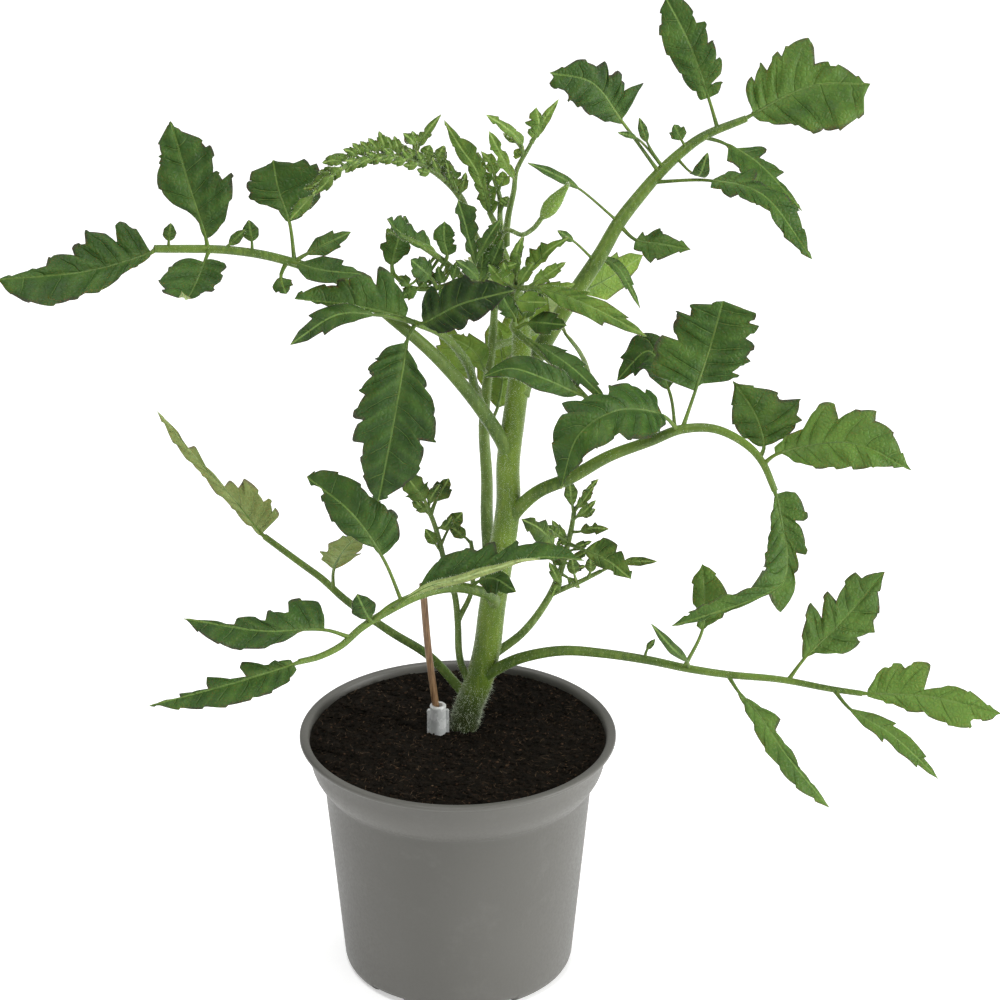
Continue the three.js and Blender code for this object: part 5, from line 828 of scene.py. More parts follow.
def leaflet(shape, spec, root, rng, young, tone, turned):
    """A leaflet: a thin quilted blade with an upper and a lower skin, its stalk and raised midrib."""
    way = Way([root, *spec["way"][1:]])
    base = way.knots[1]
    face = np.asarray(spec["face"], float)
    level = unit(np.cross(way.tangent([(1 + base) / 2])[0], face))

    def sideways(along):
        """Square to the way: level with the blade's middle, or turning with the way if it bends much."""
        if spec["bent"]:
            return unit(np.cross(along, face))
        return unit(level - along * (along @ level)[..., None])

    lift = math.radians(spec["fold"])
    blade_length = (1 - base) * way.length
    seed = tone + rng.normal(0, 0.05)
    upper, lower = (UNDER, TOP) if turned else (TOP, UNDER)
    if "edges" in spec:
        edges = [lobed_edge(points, blade_length, rng) for points in spec["edges"]]
        big = max(points[:, 1].max() for points in spec["edges"])
    else:
        edges = [blade_edge(*side, rng) for side in zip(spec["half"], spec["teeth"], spec["widest"])]
        big = max(spec["half"])
    columns = int(np.clip(big * 0.8, 4, 13))
    rows = set(np.round(np.linspace(0, 1, int(np.clip(blade_length * 2, 10, 72))), 4))
    rows.update(np.round(turn, 4) for edge in edges for turn in edge[4])
    t = np.array(sorted(row for row in rows if 0 <= row <= 1))
    v = np.linspace(0, 1, columns + 1) ** 0.9
    thickness = 0.36 if big > SMALL_REACH else 0.3
    slant = 0.16 if big > 5 else 0.1
    coarse = np.linspace(0, 1, 9)
    wave_phase = rng.random() * NEAR_TURN
    droop = EDGE_SAG * rng.uniform(0.5, 1.4)
    for side, hand in ((0, -1), (1, 1)):
        edge_t, edge_share, edge_reach, vein_ends, _ = edges[side]
        share_out = np.interp(t, edge_t, edge_share)
        reach_out = np.interp(t, edge_t, edge_reach)
        level_share = np.interp(t, coarse, np.interp(coarse, edge_t, edge_share))
        middle_share = level_share - slant * np.sin(math.pi * level_share)
        stops = np.array([0, *vein_ends, 1])
        spans = np.diff(stops) * blade_length
        veins = np.maximum(1, np.round(spans / VEIN_SPACING))
        phase = np.interp(t, stops, [0, *np.cumsum(veins)])
        spacing = (spans / veins)[np.clip(np.searchsorted(stops, t) - 1, 0, len(spans) - 1)][:, None]
        share = middle_share[:, None] + (share_out - middle_share)[:, None] * v[None] ** 1.25
        at = base + (1 - base) * share
        middle = way.at(at)
        along = way.tangent(at)
        right = sideways(along)
        up = np.cross(right, along)
        reach = reach_out[:, None] * v[None]
        fade = np.minimum(1, reach_out[:, None] / (0.35 * big + 1e-6)) * np.sin(math.pi * v)[None]
        quilt = QUILT_HEIGHT * big * np.abs(np.sin(math.pi * phase))[:, None] ** 0.8 * fade
        ridge = -MIDRIB_DIP * big * np.exp(-(v[None] * columns) ** 2) * np.ones_like(quilt)
        sag = -droop * big * v[None] ** 2.4 * (reach_out[:, None] / (big + 1e-6))
        wave = EDGE_WAVE * big * np.sin(phase[:, None] * math.pi + wave_phase + hand) * v[None] ** 2.5
        pucker = np.zeros_like(quilt)
        for size in PUCKER_SIZES:
            turn = rng.random() * NEAR_TURN
            travel = (t * blade_length)[:, None] * math.cos(turn) + reach * math.sin(turn)
            pucker += PUCKER_HEIGHT * big / size ** 0.5 * np.sin(travel * size + turn * 3)
        height = quilt + ridge + sag + wave + pucker * fade
        spot = middle + right * (hand * reach * math.cos(lift))[..., None]
        spot = spot + up * (reach * math.sin(lift) + height)[..., None]
        normal = up * math.cos(lift) - right * (hand * math.sin(lift))
        taper = (1 - 0.5 * v[None] ** 3)[..., None]
        top = spot + normal * thickness / 2 * taper
        under = spot - normal * thickness / 2 * taper
        blade = np.stack(np.broadcast_arrays(phase[:, None], reach, t[:, None]), -1)
        shade = np.stack(np.broadcast_arrays(seed, v[None], spacing + 0 * reach), -1)
        count = len(t)
        faces = grid_faces(count, columns + 1)
        flipped = faces[:, ::-1]
        shape.add(top, flipped if hand < 0 else faces, upper, blade, shade)
        shape.add(under, faces if hand < 0 else flipped, lower, blade, shade)
        rim = np.stack([top[:, -1], under[:, -1]], 1)
        rim_faces = grid_faces(count, 2)
        rim_blade = np.stack([blade[:, -1]] * 2, 1)
        rim_shade = np.stack([shade[:, -1]] * 2, 1)
        shape.add(rim, rim_faces[:, ::-1] if hand < 0 else rim_faces, upper, rim_blade, rim_shade)
        if young or big < FRINGED_REACH:
            fringe = rng.random(int(blade_length * 3))
            index = np.clip((fringe * (count - 1)).astype(int), 0, count - 1)
            outward = right[index, -1] * hand + rng.normal(0, 0.35, (len(index), 3))
            slivers(shape, spot[index, -1], unit(outward), rng.uniform(0.3, 0.8, len(index)), rng, 0.035)
    stalk = 0.62 if big >= SMALL_REACH else 0.45
    share = np.linspace(0, MIDRIB_END, 20)
    centre = way.at(share)
    along = way.tangent(share)
    right = sideways(along)
    up = np.cross(right, along)
    sunk = np.where(share > base, MIDRIB_SINK, 0.0) * (1 if big > SMALL_REACH else 0.6)
    rib = Way(centre - up * sunk[:, None], fine=4)
    thick = np.interp(share, [0, base, min(base + 0.25, 0.9), MIDRIB_END],
                      [stalk * 1.15, stalk, stalk * 0.55, MIDRIB_TIP_RADIUS])
    tail = (base + 0.05, RIB if big > SMALL_REACH else STEM)
    tube(shape, rib, thick, 8, STEM, step=1.4, flare=0.4, tone=seed, tail=tail)
    hairs(shape, rib, thick * 0.8, density=0.55 if young else 0.3, length=0.6, rng=rng)


def comb_leaflets(way, start, end, pairs, length, half, spread, rise, rng):
    """The pairs of small leaflets along a young leaf, which lean towards its end and stand up from it."""
    lean, stand = math.radians(spread), math.radians(rise)
    up = np.array([0.0, 0.0, 1.0])
    for pair in range(pairs):
        share = pair / (pairs - 1)
        at = start + (end - start) * share
        root, along = way.at([at])[0], way.tangent([at])[0]
        right = np.cross(along, up)
        right /= np.linalg.norm(right)
        for hand in (-1, 1):
            wide = math.sin((pair * 2 + (hand + 1) / 2 + pairs) * SCATTER_TURN) * SCATTER_SCALE
            draw = wide - math.floor(wide)
            reach = np.interp(share, [0, 1], length) * (0.85 + 0.3 * draw)
            sideways = right * hand * math.cos(stand) + up * math.sin(stand)
            heading = along * math.cos(lean) + sideways * math.sin(lean)
            yield plain([root, root + heading * reach * 0.2, root + heading * reach], (0, -1, 0.2),
                        rng.uniform(10, 30), half, 2)


def sprig(x, y, z, middle_x, middle_z, tip_x, tip_z, half, teeth):
    """A small leaflet that bends once on its way and leans a little to the front."""
    root = np.array([x, y, z])
    middle = np.array([middle_x, y - 1, middle_z])
    tip = np.array([tip_x, y - 1.5, tip_z])
    way = [root, root + (middle - root) * 0.3, middle, tip]
    return plain(way, (0, -0.9, 0.35), 14, (half, half * 0.9), teeth)


def build_leaf(name, branches, materials, rng):
    """One compound leaf or shoot. Each leaflet is seated on its branch, at the place nearest its root."""
    shape = Shape()
    young = name in YOUNG_LEAVES
    # The leaflets' tones are partly painted light: lit leaflets lighter, shaded ones darker
    tones = iter(LEAF_TONES_AND_PAINTED_LIGHT.get(name, ()))
    turned = TURNED_LEAFLETS.get(name, ())
    order = 0
    for limb in branches:
        way = Way(limb["way"])
        radii = limb["radii"]
        sides = 16 if max(radii) > 2 else 10
        tube(shape, way, radii, sides, STEM, flare=ROOT_FLARE, tone=rng.random(), ribs=0.03)
        hairs(shape, way, radii, density=1.6 if young else 0.9, length=0.9 if young else 0.75, rng=rng,
              flare=ROOT_FLARE)
        leaflets = list(limb["leaflets"])
        if limb is branches[0]:
            leaflets += [sprig(*numbers) for numbers in SPRIGS.get(name, ())]
        if limb["comb"]:
            leaflets += comb_leaflets(way, rng=rng, **limb["comb"])
        places = way.at(np.linspace(0, 1, 241))
        for item in leaflets:
            gaps = np.linalg.norm(places - np.asarray(item["way"][0], float), axis=1)
            leaflet(shape, item, places[np.argmin(gaps)], rng, young, next(tones, 0.5), order in turned)
            order += 1
    shape.piece("skin_" + name, materials, "young_leaf" if young else "leaf", name)


class Nodes:
    """Builds one material's nodes in few words."""

    def __init__(self, name, roughness, specular=0.5):
        self.material = bpy.data.materials.new(name)
        self.material.use_nodes = True
        self.tree = self.material.node_tree
        self.shader = self.tree.nodes["Principled BSDF"]
        self.shader.inputs["Roughness"].default_value = roughness
        self.shader.inputs["Specular IOR Level"].default_value = specular

    def node(self, kind, **values):
        node = self.tree.nodes.new(kind)
        for key, value in values.items():
            setattr(node, key, value)
        return node

    def plug(self, socket, value):
        if isinstance(value, bpy.types.NodeSocket):
            self.tree.links.new(value, socket)
        else:
            socket.default_value = value

    def math(self, operation, a, b):
        node = self.node("ShaderNodeMath", operation=operation)
        self.plug(node.inputs[0], a)
        self.plug(node.inputs[1], b)
        return node.outputs[0]

    def times(self, a, b):
        return self.math("MULTIPLY", a, b)

    def plus(self, a, b):
        return self.math("ADD", a, b)

    def minus(self, a, b):
        return self.math("SUBTRACT", a, b)

    def ramp(self, value, low, high, out_low=0.0, out_high=1.0):
        node = self.node("ShaderNodeMapRange", interpolation_type="SMOOTHSTEP")
        for socket, item in zip(node.inputs, (value, low, high, out_low, out_high)):
            self.plug(socket, item)
        return node.outputs[0]

    def mix(self, factor, a, b):
        node = self.node("ShaderNodeMix", data_type="RGBA", blend_type="MIX")
        self.plug(node.inputs["Factor"], factor)
        self.plug(node.inputs[6], (*a, 1) if isinstance(a, tuple) else a)
        self.plug(node.inputs[7], (*b, 1) if isinstance(b, tuple) else b)
        return node.outputs[2]

    def split(self, vector):
        node = self.node("ShaderNodeSeparateXYZ")
        self.plug(node.inputs[0], vector)
        return node.outputs

    def attribute(self, name):
        return self.split(self.node("ShaderNodeAttribute", attribute_name=name).outputs["Vector"])

    def place(self):
        return self.node("ShaderNodeTexCoord").outputs["Object"]

    def drawn_out(self, share):
        """The place with its height taken only by the share given, so that a pattern runs upright."""
        node = self.node("ShaderNodeMapping")
        self.plug(node.inputs["Vector"], self.place())
        node.inputs["Scale"].default_value = (1.0, 1.0, share)
        return node.outputs[0]

    def noise(self, scale, detail=3.0, roughness=0.55, vector=None):
        node = self.node("ShaderNodeTexNoise")
        self.plug(node.inputs["Vector"], vector or self.place())
        node.inputs["Scale"].default_value = scale
        node.inputs["Detail"].default_value = detail
        node.inputs["Roughness"].default_value = roughness
        return node.outputs["Fac"]

    def cells(self, scale):
        node = self.node("ShaderNodeTexVoronoi", feature="DISTANCE_TO_EDGE")
        self.plug(node.inputs["Vector"], self.place())
        node.inputs["Scale"].default_value = scale
        return node.outputs["Distance"]

    def bump(self, height, distance, strength):
        node = self.node("ShaderNodeBump")
        node.inputs["Strength"].default_value = strength
        node.inputs["Distance"].default_value = distance
        self.plug(node.inputs["Height"], height)
        self.plug(self.shader.inputs["Normal"], node.outputs["Normal"])

    def done(self, colour, **uniform):
        self.plug(self.shader.inputs["Base Color"], colour)
        for key, value in uniform.items():
            self.shader.inputs[key.replace("_", " ")].default_value = value
        return self.material


def linear(red, green, blue):
    """A colour given as 0 to 255 on a screen, in linear light."""
    return tuple(((channel / 255 + 0.055) / 1.055) ** 2.4 if channel > 10 else channel / 3295
                 for channel in (red, green, blue))


def blade_material(name, shades, vein, rim, gloss, under=False):
    """A blade's skin: shaded from dark to light by its tone, which is partly painted light, with sunk side
    veins in painted shade, painted highlight on the ridges between them, and a pale midrib.
    """
    dark, usual, light = shades
    m = Nodes(name, roughness=gloss, specular=0.22)
    phase, reach, along = m.attribute("blade")
    tone, out, spacing = m.attribute("tone")
    patches = m.noise(75.0)
    mottle = m.noise(520.0, 4.0, 0.65)
    # The leaflet's tone, partly its own and partly painted light, with random patches, sets how light its
    # green is
    level = m.plus(tone, m.times(m.minus(patches, 0.5), 0.9))
    level = m.plus(level, m.times(m.minus(mottle, 0.5), 0.3))
    colour = m.mix(m.times(level, 2.0), dark, usual)
    colour = m.mix(m.minus(m.times(level, 2.0), 1.0), colour, light)
    sway = m.times(m.minus(m.noise(140.0, 2.0), 0.5), 0.24)
    swing = m.math("PINGPONG", m.plus(phase, sway), 0.5)
    near = m.times(swing, spacing)
    fade = m.ramp(out, 0.55, 1.0, 1.0, 0.0)
    # Painted shade: the grooves along the side veins are painted darker, as if in shadow; the same mask also
    # sinks them in the bump
    groove_and_painted_shade = m.times(m.ramp(near, 0.0, 0.5, 1.0, 0.0), fade)
    thread = m.times(m.ramp(near, 0.03, 0.17, 1.0, 0.0), m.times(fade, fade))
    # Painted highlight: the ridges midway between the side veins are painted lighter, as if lit
    ridge = m.ramp(swing, 0.18, 0.5)
    midrib = m.ramp(reach, 0.16, 0.48, 1.0, 0.0)
    glow = m.times(m.ramp(reach, 0.4, 3.4, 0.24, 0.0), m.ramp(along, 0.1, 0.9, 1.0, 0.1))
    net = m.ramp(m.cells(560.0), 0.0, 0.1, 1.0, 0.0)
    # Painted highlight on the ridges between veins
    colour = m.mix(m.times(ridge, 0.2), colour, light)
    colour = m.mix(m.times(net, 0.16), colour, vein if under else dark)
    # Painted shade in the vein grooves
    colour = m.mix(m.times(groove_and_painted_shade, 0.1 if under else 0.16), colour, dark)
    colour = m.mix(glow, colour, vein)
    strongest = m.math("MAXIMUM", m.times(thread, 0.5 if under else 0.36), m.times(midrib, 0.8))
    colour = m.mix(strongest, colour, vein)
    edge = m.times(m.ramp(out, 0.86, 1.0), m.ramp(m.noise(130.0), 0.35, 0.6))
    colour = m.mix(m.times(edge, 0.7), colour, rim)
    bulge = m.times(m.ramp(m.cells(560.0), 0.0, 0.35), 0.35)
    relief = m.minus(bulge, m.times(groove_and_painted_shade, -0.8 if under else 0.7))
    relief = m.plus(relief, m.times(patches, 0.8))
    m.bump(m.plus(relief, m.times(m.noise(2600.0, 2.0), 0.14)), 0.0007, 0.75)
    m.plug(m.shader.inputs["Roughness"], m.ramp(mottle, 0.2, 0.8, gloss - 0.07, gloss + 0.1))
    return m.done(colour, Subsurface_Weight=0.1, Subsurface_Scale=0.0012)


def stem_material(name, dark, light, pale, rooted=0.0):
    """A stalk's skin, streaked along its height. Rooted is how far it darkens towards the peat."""
    m = Nodes(name, roughness=0.5, specular=0.35)
    streaks = m.noise(900.0, 3.0, 0.6, m.drawn_out(0.16))
    specks = m.noise(2400.0, 2.0, 0.6)
    height = m.split(m.place())[2]
    colour = m.mix(m.ramp(m.noise(60.0), 0.3, 0.7), dark, light)
    colour = m.mix(m.times(m.ramp(streaks, 0.45, 0.7), 0.5), colour, pale)
    colour = m.mix(m.times(m.ramp(specks, 0.55, 0.75), 0.2), colour, pale)
    colour = m.mix(m.ramp(height, *ROOTED_HEIGHTS, rooted, 0.0), colour, linear(30, 34, 14))
    m.bump(m.plus(m.times(streaks, 0.6), m.times(specks, 0.4)), 0.0004, 0.5)
    return m.done(colour, Subsurface_Weight=0.15, Subsurface_Scale=0.002, Sheen_Weight=0.12,
                  Sheen_Roughness=0.4)


def hair_material():
    m = Nodes("hair", roughness=0.45)
    return m.done(m.mix(m.noise(300.0), linear(196, 214, 170), linear(236, 242, 226)))


def pot_piece(material):
    """The pot, turned from points of radius and height, with the gaps between its feet."""
    floor = FOOT_HEIGHT + POT_WALL
    lip_low = POT_HEIGHT - LIP_HEIGHT
    foot = BASE_RADIUS + BASE_CURVE
    outside = [(BASE_RADIUS - 3, 0), (BASE_RADIUS - 1.6, 0.25), (BASE_RADIUS - 0.5, 0.9),
               (BASE_RADIUS + 0.6, 1.9), (BASE_RADIUS + 1.4, 3.3), (foot, BASE_CURVE_HEIGHT)]
    outside += [(foot + (BAND_BOTTOM_RADIUS - foot) * k / 8,
                 BASE_CURVE_HEIGHT + (BAND_BOTTOM - BASE_CURVE_HEIGHT) * k / 8) for k in range(1, 8)]
    outside += [(BAND_BOTTOM_RADIUS - 0.15, BAND_BOTTOM - 1), (BAND_BOTTOM_RADIUS, BAND_BOTTOM - 0.3),
                (BAND_BOTTOM_RADIUS + 0.5, BAND_BOTTOM + 0.2), (52.3, BAND_BOTTOM + 1.4),
                (53.6, BAND_BOTTOM + 3.2), (54.7, BAND_BOTTOM + 5.2), (55.5, BAND_BOTTOM + 7.4),
                (56.3, BAND_BOTTOM + 11), (56.9, lip_low - 1.2), (57.3, lip_low - 0.4)]
    lip = [(57.9, lip_low - 0.05), (59.2, lip_low), (59.75, lip_low + 0.2), (RIM_RADIUS, lip_low + 0.6),
           (RIM_RADIUS, POT_HEIGHT - 0.6), (59.75, POT_HEIGHT - 0.18), (59.2, POT_HEIGHT),
           (57.4, POT_HEIGHT), (56.9, POT_HEIGHT - 0.25), (56.5, POT_HEIGHT - 0.9), (56.3, POT_HEIGHT - 2.2)]
    inside = [(55.6, POT_HEIGHT - 8), (54, BAND_BOTTOM + 6.6), (49.7, BAND_BOTTOM - 0.4), (42.6, 6.5),
              (40.4, floor), (0.01, floor)]
    underside = [(0.01, 0), (12, 0), (12.5, FOOT_HEIGHT), (FOOT_INNER_RADIUS - 0.5, FOOT_HEIGHT),
                 (FOOT_INNER_RADIUS, 0)]
    profile = np.array(underside + outside + lip + inside)
    first_foot_row = len(underside) - 1
    half_notch = math.degrees(math.asin(NOTCH_WIDTH / 2 / BASE_RADIUS))
    pitch = 360 / FOOT_COUNT
    columns = []
    for notch in range(FOOT_COUNT):
        middle = FIRST_NOTCH_DEG + notch * pitch
        start, end = middle - half_notch, middle + half_notch
        columns += [(turn, True) for turn in np.linspace(start, end, 10)]
        columns += [(turn, False) for turn in np.linspace(end + 0.05, start + pitch - 0.05, 28)]
    corners = []
    for turn, notched in columns:
        ring = profile.copy()
        if notched:
            low = np.arange(first_foot_row, first_foot_row + 5)
            ring[low, 1] = np.maximum(ring[low, 1], FOOT_HEIGHT)
        angle = math.radians(turn)
        corners.append(np.stack([ring[:, 0] * math.cos(angle), ring[:, 0] * math.sin(angle), ring[:, 1]], -1))
    shape = Shape()
    faces = grid_faces(len(columns) + 1, len(profile)) % (len(columns) * len(profile))
    shape.add(np.array(corners), faces, 0)
    shape.piece("pot_skin", [material], "pot", "pot")


def on_disc(radius, count, rng):
    """How far out and at what turn places lie that are spread evenly over a disc."""
    return radius * np.sqrt(rng.random(count)), rng.random(count) * 2 * math.pi


def soil_piece(materials):
    """The peat's surface, crumbly, with loose crumbs and fibres on it, over its hidden block."""
    rng = np.random.default_rng(SOIL_SEED)
    shape = Shape()
    radius = np.linspace(0.02, SOIL_RADIUS, SOIL_RINGS)
    angle = np.linspace(0, 2 * math.pi, SOIL_TURNS, endpoint=False)
    x = radius[:, None] * np.cos(angle)[None]
    y = radius[:, None] * np.sin(angle)[None]
    height = np.zeros_like(x)
    for size, amount in SOIL_WAVES:
        for _ in range(3):
            heading = rng.random() * NEAR_TURN
            height += amount * 0.5 * np.sin(
                size * (x * math.cos(heading) + y * math.sin(heading)) * 2 + rng.random() * NEAR_TURN)
    height += rng.normal(0, 0.16, height.shape)
    rim = np.clip((radius - SOIL_FALL_START) / SOIL_FALL_WIDTH, 0, 1)[:, None]
    z = SOIL_TOP - SOIL_RELIEF + SOIL_RELIEF * height * (1 - 0.5 * rim) - SOIL_RELIEF * rim
    z = np.minimum(z, SOIL_TOP + 0.4)
    top = np.stack([x, y, z], -1)
    skirts = [np.stack([reach * np.cos(angle), reach * np.sin(angle), np.full(SOIL_TURNS, low)], -1)
              for reach, low in SOIL_SKIRTS]
    shape.add(np.concatenate([top, skirts]), grid_faces(SOIL_RINGS + 2, SOIL_TURNS, closed=True), 0)
    ball = np.array([(0, 0, 1), (0.9, 0, 0.2), (0.3, 0.85, 0.2), (-0.7, 0.5, 0.25), (-0.7, -0.5, 0.2),
                     (0.3, -0.85, 0.15), (0, 0, -1)])
    ball_faces = np.array([(0, k, k % 5 + 1) for k in range(1, 6)] + [(6, k % 5 + 1, k) for k in range(1, 6)])
    for count, low, high, slot in SOIL_CRUMBS:
        far, turn = on_disc(CRUMB_REACH, count, rng)
        size = rng.uniform(low, high, count)
        ring = np.clip((far / SOIL_RADIUS * (SOIL_RINGS - 1)).astype(int), 0, SOIL_RINGS - 1)
        column = (turn / (2 * math.pi) * SOIL_TURNS).astype(int) % SOIL_TURNS
        middle = np.stack([far * np.cos(turn), far * np.sin(turn), z[ring, column] + size * 0.15], -1)
        bodies = ball[None] * rng.uniform(0.55, 1.3, (count, 7, 3)) * size[:, None, None]
        bodies[..., 2] *= 0.7
        spin = rng.random(count) * NEAR_TURN
        cos, sin = np.cos(spin)[:, None], np.sin(spin)[:, None]
        bodies = np.stack([bodies[..., 0] * cos - bodies[..., 1] * sin,
                           bodies[..., 0] * sin + bodies[..., 1] * cos, bodies[..., 2]], -1)
        faces = (ball_faces[None] + np.arange(count)[:, None, None] * len(ball)).reshape(-1, 3)
        shape.add(bodies + middle[:, None], faces, slot)
    far, turn = on_disc(FIBRE_REACH, FIBRE_COUNT, rng)
    heading = rng.random(FIBRE_COUNT) * NEAR_TURN
    start = np.stack([far * np.cos(turn), far * np.sin(turn), np.full(FIBRE_COUNT, SOIL_TOP - 0.1)], -1)
    ahead = np.stack([np.cos(heading), np.sin(heading), rng.normal(0, 0.12, FIBRE_COUNT)], -1)
    side = unit(np.cross(ahead, [0, 0, 1.0])) * 0.09
    end = start + ahead * rng.uniform(0.8, 3.2, FIBRE_COUNT)[:, None]
    corners = np.stack([start - side, start + side, end + side * 0.4, end - side * 0.4], 1)
    shape.add(corners, np.arange(FIBRE_COUNT * 4).reshape(-1, 4), 2)
    shape.piece("soil_skin", materials, "soil", "soil", flat=(0, 1, 2))


def main_stem_piece(materials, rng):
    """The main stem, with short hairs all along and longer ones at its foot."""
    shape = Shape()
    way = Way(MAIN_STEM)
    tube(shape, way, MAIN_STEM_RADII, 36, STEM, step=0.9, ribs=0.022)
    hairs(shape, way, MAIN_STEM_RADII, density=3.4, length=0.85, rng=rng, droop=0.3)
    hairs(shape, Way(STEM_FOOT), STEM_FOOT_RADII, density=1.8, length=2.3, rng=rng, droop=0.5)
    shape.piece("main_stem_skin", materials, "stem", "main_stem")


def stick_piece(material):
    shape = Shape()
    tube(shape, Way(SUPPORT_STICK), [STICK_RADIUS, STICK_RADIUS], 20, 0, step=1.5, ribs=0.02)
    shape.piece("stick_skin", [material], "stick", "support_stick")


def clip_piece(material):
    """A clear sleeve with a rolled edge, ribs, and a flat wing on each side."""
    shape = Shape()
    x, y, _ = SUPPORT_STICK[1]
    low = SOIL_TOP - CLIP_DEPTH
    high = low + CLIP_HEIGHT
    profile = np.array([(CLIP_BORE, low), (CLIP_RADIUS - 0.3, low), (CLIP_RADIUS, low + 0.3),
                        (CLIP_RADIUS - 0.12, low + 1), (CLIP_RADIUS - 0.12, high - 1.4),
                        (CLIP_RADIUS, high - 1), (CLIP_RADIUS, high - 0.35), (CLIP_RADIUS - 0.3, high),
                        (CLIP_BORE + 0.2, high), (CLIP_BORE, high - 0.3), (CLIP_BORE, low)])
    turns = np.linspace(0, 2 * math.pi, CLIP_TURNS, endpoint=False)
    reach, height = profile[:, :1], profile[:, 1:]
    corners = np.stack([x + reach * np.cos(turns), y + reach * np.sin(turns), height + 0 * turns], -1)
    shape.add(corners, grid_faces(len(profile), CLIP_TURNS, closed=True)[:, ::-1], 0)
    middle = (low + high) / 2
    tall = CLIP_HEIGHT * 0.36
    for hand in (-1, 1):
        inner, outer = CLIP_RADIUS - 0.4, CLIP_WIDTH / 2
        outline = [(inner, -tall), (outer - 0.5, -tall), (outer, -tall + 0.6), (outer, tall - 0.6),
                   (outer - 0.5, tall), (inner, tall)]
        depth = CLIP_WING_DEPTH / 2
        front = [(x + hand * px, y - depth, middle + pz) for px, pz in outline]
        back = [(x + hand * px, y + depth, middle + pz) for px, pz in outline]
        order = 1 if hand > 0 else -1
        shape.add(front + back, [list(range(6))[::order], list(range(11, 5, -1))[::order]], 0)
        ring = [[k, (k + 1) % 6, (k + 1) % 6 + 6, k + 6][::-order] for k in range(6)]
        shape.add(front + back, ring, 0)
    shape.piece("clip_skin", [material], "clip", "support_clip")


def bud_piece(materials, rng):
    """The flower bud: a ribbed body in five pointed sepals, on its bent stalk."""
    shape = Shape()
    stalk = Way(BUD_STALK)
    tube(shape, stalk, BUD_STALK_RADII, 12, STEM, step=0.8, flare=0.2)
    hairs(shape, stalk, BUD_STALK_RADII, density=3, length=0.8, rng=rng)
    base, tip = np.array(BUD_STALK[-1], float), np.array(BUD_TIP, float)
    axis = tip - base
    length = np.linalg.norm(axis)
    axis /= length
    side = unit(np.cross(axis, [0, 1.0, 0]))
    front = np.cross(axis, side)
    rows, turns = 40, 40
    share = np.linspace(0.0, 1.0, rows)
    outline = np.array(BUD_PROFILE)
    radius = np.interp(share, outline[:, 0], outline[:, 1])
    angle = np.linspace(0, 2 * math.pi, turns, endpoint=False)
    ribs = 1 + 0.09 * np.abs(np.cos(angle * 2.5))[None] * np.ones((rows, 1))
    reach = radius[:, None] * ribs * 0.95
    corners = base + axis * (share * length)[:, None, None] + reach[..., None] * (
        np.cos(angle)[None, :, None] * side + np.sin(angle)[None, :, None] * front)
    blade = np.stack(np.broadcast_arrays(angle[None] / NEAR_TURN * 5, 2.0, share[:, None]), -1)
    shape.add(corners, grid_faces(rows, turns, closed=True), TOP, blade, np.full((rows * turns, 3), 0.7))
    row = rng.integers(1, rows - 1, BUD_HAIRS)
    column = rng.integers(0, turns, BUD_HAIRS)
    root = corners[row, column]
    out = unit(root - (base + axis * (share[row] * length)[:, None]))
    heading = unit(out + rng.normal(0, 0.3, (BUD_HAIRS, 3)) + axis * 0.3)
    slivers(shape, root, heading, rng.uniform(0.4, 1.1, BUD_HAIRS), rng)
    shape.piece("bud_skin", materials, "bud", "flower_bud")


def pot_material():
    m = Nodes("pot_plastic", roughness=0.46, specular=0.45)
    grain = m.noise(900.0)
    scuff = m.ramp(m.noise(70.0, 5.0, 0.7), 0.52, 0.72)
    height = m.split(m.place())[2]
    colour = m.mix(m.ramp(m.noise(9.0, 2.0), 0.3, 0.7), linear(84, 83, 78), linear(92, 91, 86))
    # Painted light: the band above the wall is painted lighter, as if lit more than the wall below
    colour = m.mix(m.ramp(height, *BAND_PAINTED_LIGHT_HEIGHTS), colour, linear(94, 93, 88))
    colour = m.mix(m.times(scuff, 0.18), colour, linear(112, 111, 107))
    m.bump(grain, 0.00012, 0.35)
    m.plug(m.shader.inputs["Roughness"], m.ramp(grain, 0.3, 0.7, 0.4, 0.52))
    return m.done(colour)


def soil_material(name, dark, light, fleck):
    m = Nodes(name, roughness=0.95, specular=0.12)
    clumps = m.noise(260.0, 4.0, 0.65)
    flecks = m.ramp(m.noise(700.0, 2.0, 0.7), 0.6, 0.72)
    colour = m.mix(m.ramp(clumps, 0.3, 0.72), dark, light)
    colour = m.mix(m.times(flecks, 0.55), colour, fleck)
    m.bump(m.noise(1100.0, 4.0, 0.7), 0.0008, 0.9)
    return m.done(colour)


def stick_material():
    m = Nodes("stick_wood", roughness=0.42)
    grain = m.noise(1600.0, 4.0, 0.65, m.drawn_out(0.08))
    m.bump(grain, 0.0003, 0.6)
    return m.done(m.mix(m.ramp(grain, 0.3, 0.7), linear(96, 68, 42), linear(152, 119, 82)))


def clip_material():
    m = Nodes("clip_clear", roughness=0.22)
    haze = m.noise(240.0)
    colour = m.mix(m.ramp(haze, 0.3, 0.7), linear(206, 210, 208), linear(240, 242, 241))
    m.plug(m.shader.inputs["Roughness"], m.ramp(haze, 0.3, 0.7, 0.16, 0.34))
    return m.done(colour, Transmission_Weight=0.3, IOR=1.46)


